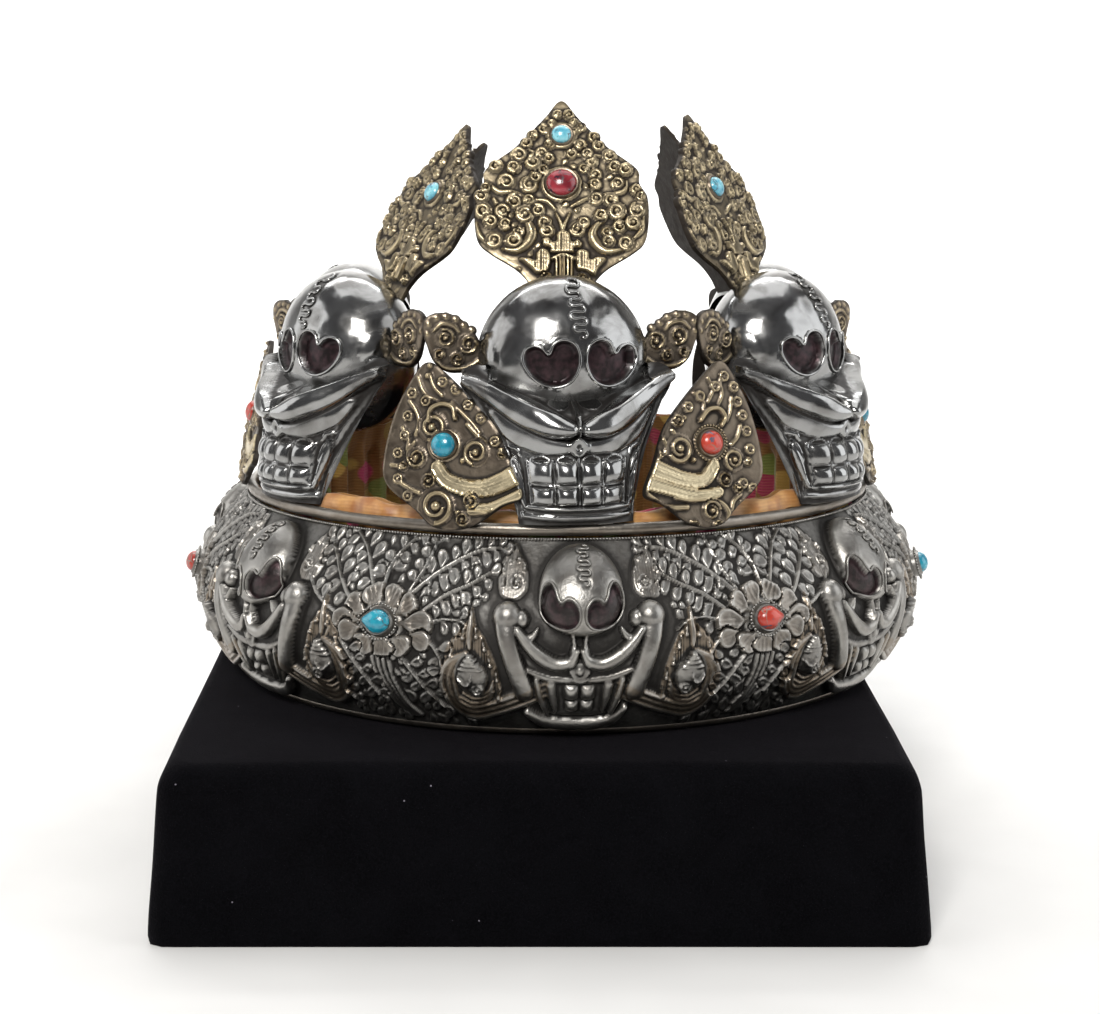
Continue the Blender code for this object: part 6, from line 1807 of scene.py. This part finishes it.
def blockPart():
    # velvet stretched over a board: corners rounded, slack and pile a few tenths deep
    sides, levels, topRings = 240, 20, 14
    high, middle = boardPlan["height"], np.array(boardPlan["middle"])
    # share of the height, and how far the edge is drawn in as a share of its round
    profile = [(0.0, 0.6), (0.02, 0.15), (0.08, 0.0)] + [(v, 0.0) for v in np.linspace(0.14, 0.80, levels)]
    profile += [(0.83 + 0.17 * math.sin(a), 1.0 - math.cos(a)) for a in np.linspace(0.15, 1.57, 12)]
    points = []
    for up, draw in profile:
        ring = roundedPlan(blockCorners(up * high), boardPlan["corner"], sides)
        away = ring - middle
        away /= np.linalg.norm(away, axis=1, keepdims=True)
        soft = np.interp(ring[:, 1], [-145, -100, 125], [8.2, 5.2, 4.8]) if up > 0.1 else np.ones(sides)
        points.append(np.column_stack([ring - away * (soft * draw)[:, None], np.full(sides, up * high)]))
    edge = points[-1][:, :2]
    for k in range(topRings):
        share = 1 - ((k + 1) / topRings) ** 0.8 * 0.999
        points.append(np.column_stack([middle + (edge - middle) * share, np.full(sides, high)]))
    grid = np.array(points)
    x, y, z = grid[..., 0], grid[..., 1], grid[..., 2]
    slack = 0.35 * np.sin(x * 0.045 + 0.7) * np.sin(z * 0.11 + x * 0.013)
    slack += 0.22 * np.sin(x * 0.13 + z * 0.21 + y * 0.05)
    grid[:, :, 1] += np.where(y < -100, slack * smooth(z / 8), 0)
    rows, k = len(grid), np.arange(sides)
    return meshPiece("display_block", grid.reshape(-1, 3), gridQuads(rows, sides, closed=True), (), velvet,
                     None, 60.0,
                     loops=(k[::-1], (rows - 1) * sides + k))


def roundedPlan(corners, radius, count):
    path = []
    for k in range(4):
        before, here, after = corners[k - 1], corners[k], corners[(k + 1) % 4]
        a, b = before - here, after - here
        a, b = a / np.linalg.norm(a), b / np.linalg.norm(b)
        for t in np.linspace(0, 1, 9):
            path.append(here + a * radius * (1 - t) ** 2 + b * radius * t ** 2)
    path = np.array(path + [path[0]])
    run = np.concatenate([[0], np.cumsum(np.hypot(*(path[1:] - path[:-1]).T))])
    spots = np.arange(count) / count * run[-1]
    return np.stack([np.interp(spots, run, path[:, 0]), np.interp(spots, run, path[:, 1])], -1)


block = finishPiece(blockPart(), ("velvet_stand",))
print("block covered")


# Floor, backdrop and light

def stagePart():
    deep, high, wideHalf, bend = 1500.0, 2600.0, 3200.0, 700.0
    turns = np.linspace(0.1, 1.57, 16)
    sweep = [(deep - bend + bend * math.sin(a), bend - bend * math.cos(a)) for a in turns]
    profile = [(-2600.0, 0.0), (deep - bend, 0.0)] + sweep + [(deep, high)]
    points = [(x, y, z - 0.05) for y, z in profile for x in (-wideHalf, wideHalf)]
    quads = [(2 * k, 2 * k + 1, 2 * k + 3, 2 * k + 2) for k in range(len(profile) - 1)]
    made, tree, shader = newFinish("paper_backdrop_pale")  # matt studio paper
    grain = noiseOf(tree, 60.0, 2.0)
    tree.links.new(mixed(tree, ranged(tree, grain, 0.4, 0.6), linear("D9D8D6"), linear("DDDCDA")),
                   shader.inputs["Base Color"])
    shader.inputs["Roughness"].default_value = 0.9
    obj = meshPiece("studio_paper", points, quads, (), made, None, 180.0)


stagePart()


def softLight(name, place, aim, size, watts, tone=(1.0, 1.0, 1.0)):
    data = bpy.data.lights.new(name, "AREA")
    data.shape, data.size, data.size_y = "RECTANGLE", size[0], size[1]
    data.energy, data.color = watts, tone
    obj = bpy.data.objects.new(name, data)
    obj.location = place
    way = np.array(aim) - np.array(place)
    flat = math.hypot(way[0], way[1])
    obj.rotation_euler = (math.atan2(flat, -way[2]), 0.0, math.atan2(way[1], way[0]) - math.pi / 2)
    bpy.context.scene.collection.objects.link(obj)


middle = (0.0, 0.0, 0.12)
softLight("key_front", (-0.22, -1.08, 0.94), middle, (0.42, 0.42), 15.0, (1.0, 0.985, 0.96))
softLight("wall_right", (1.25, -0.20, 0.62), middle, (1.2, 1.2), 8.5, (0.97, 0.985, 1.0))
softLight("wall_left", (-1.30, 0.0, 0.55), middle, (1.1, 1.1), 6.5)
softLight("top", (0.0, 0.25, 1.40), middle, (1.5, 1.0), 8.0)
softLight("paper_glow", (0.0, 0.75, 1.3), (0.0, 1.5, 0.35), (1.8, 0.5), 30.0)
world = bpy.data.worlds.new("studio_grey")
world.use_nodes = True
sky = world.node_tree.nodes["Background"].inputs
sky["Color"].default_value, sky["Strength"].default_value = linear("6E6E70"), 0.8
bpy.context.scene.world = world
bpy.context.scene.view_settings.view_transform = "Standard"
print("lights set")
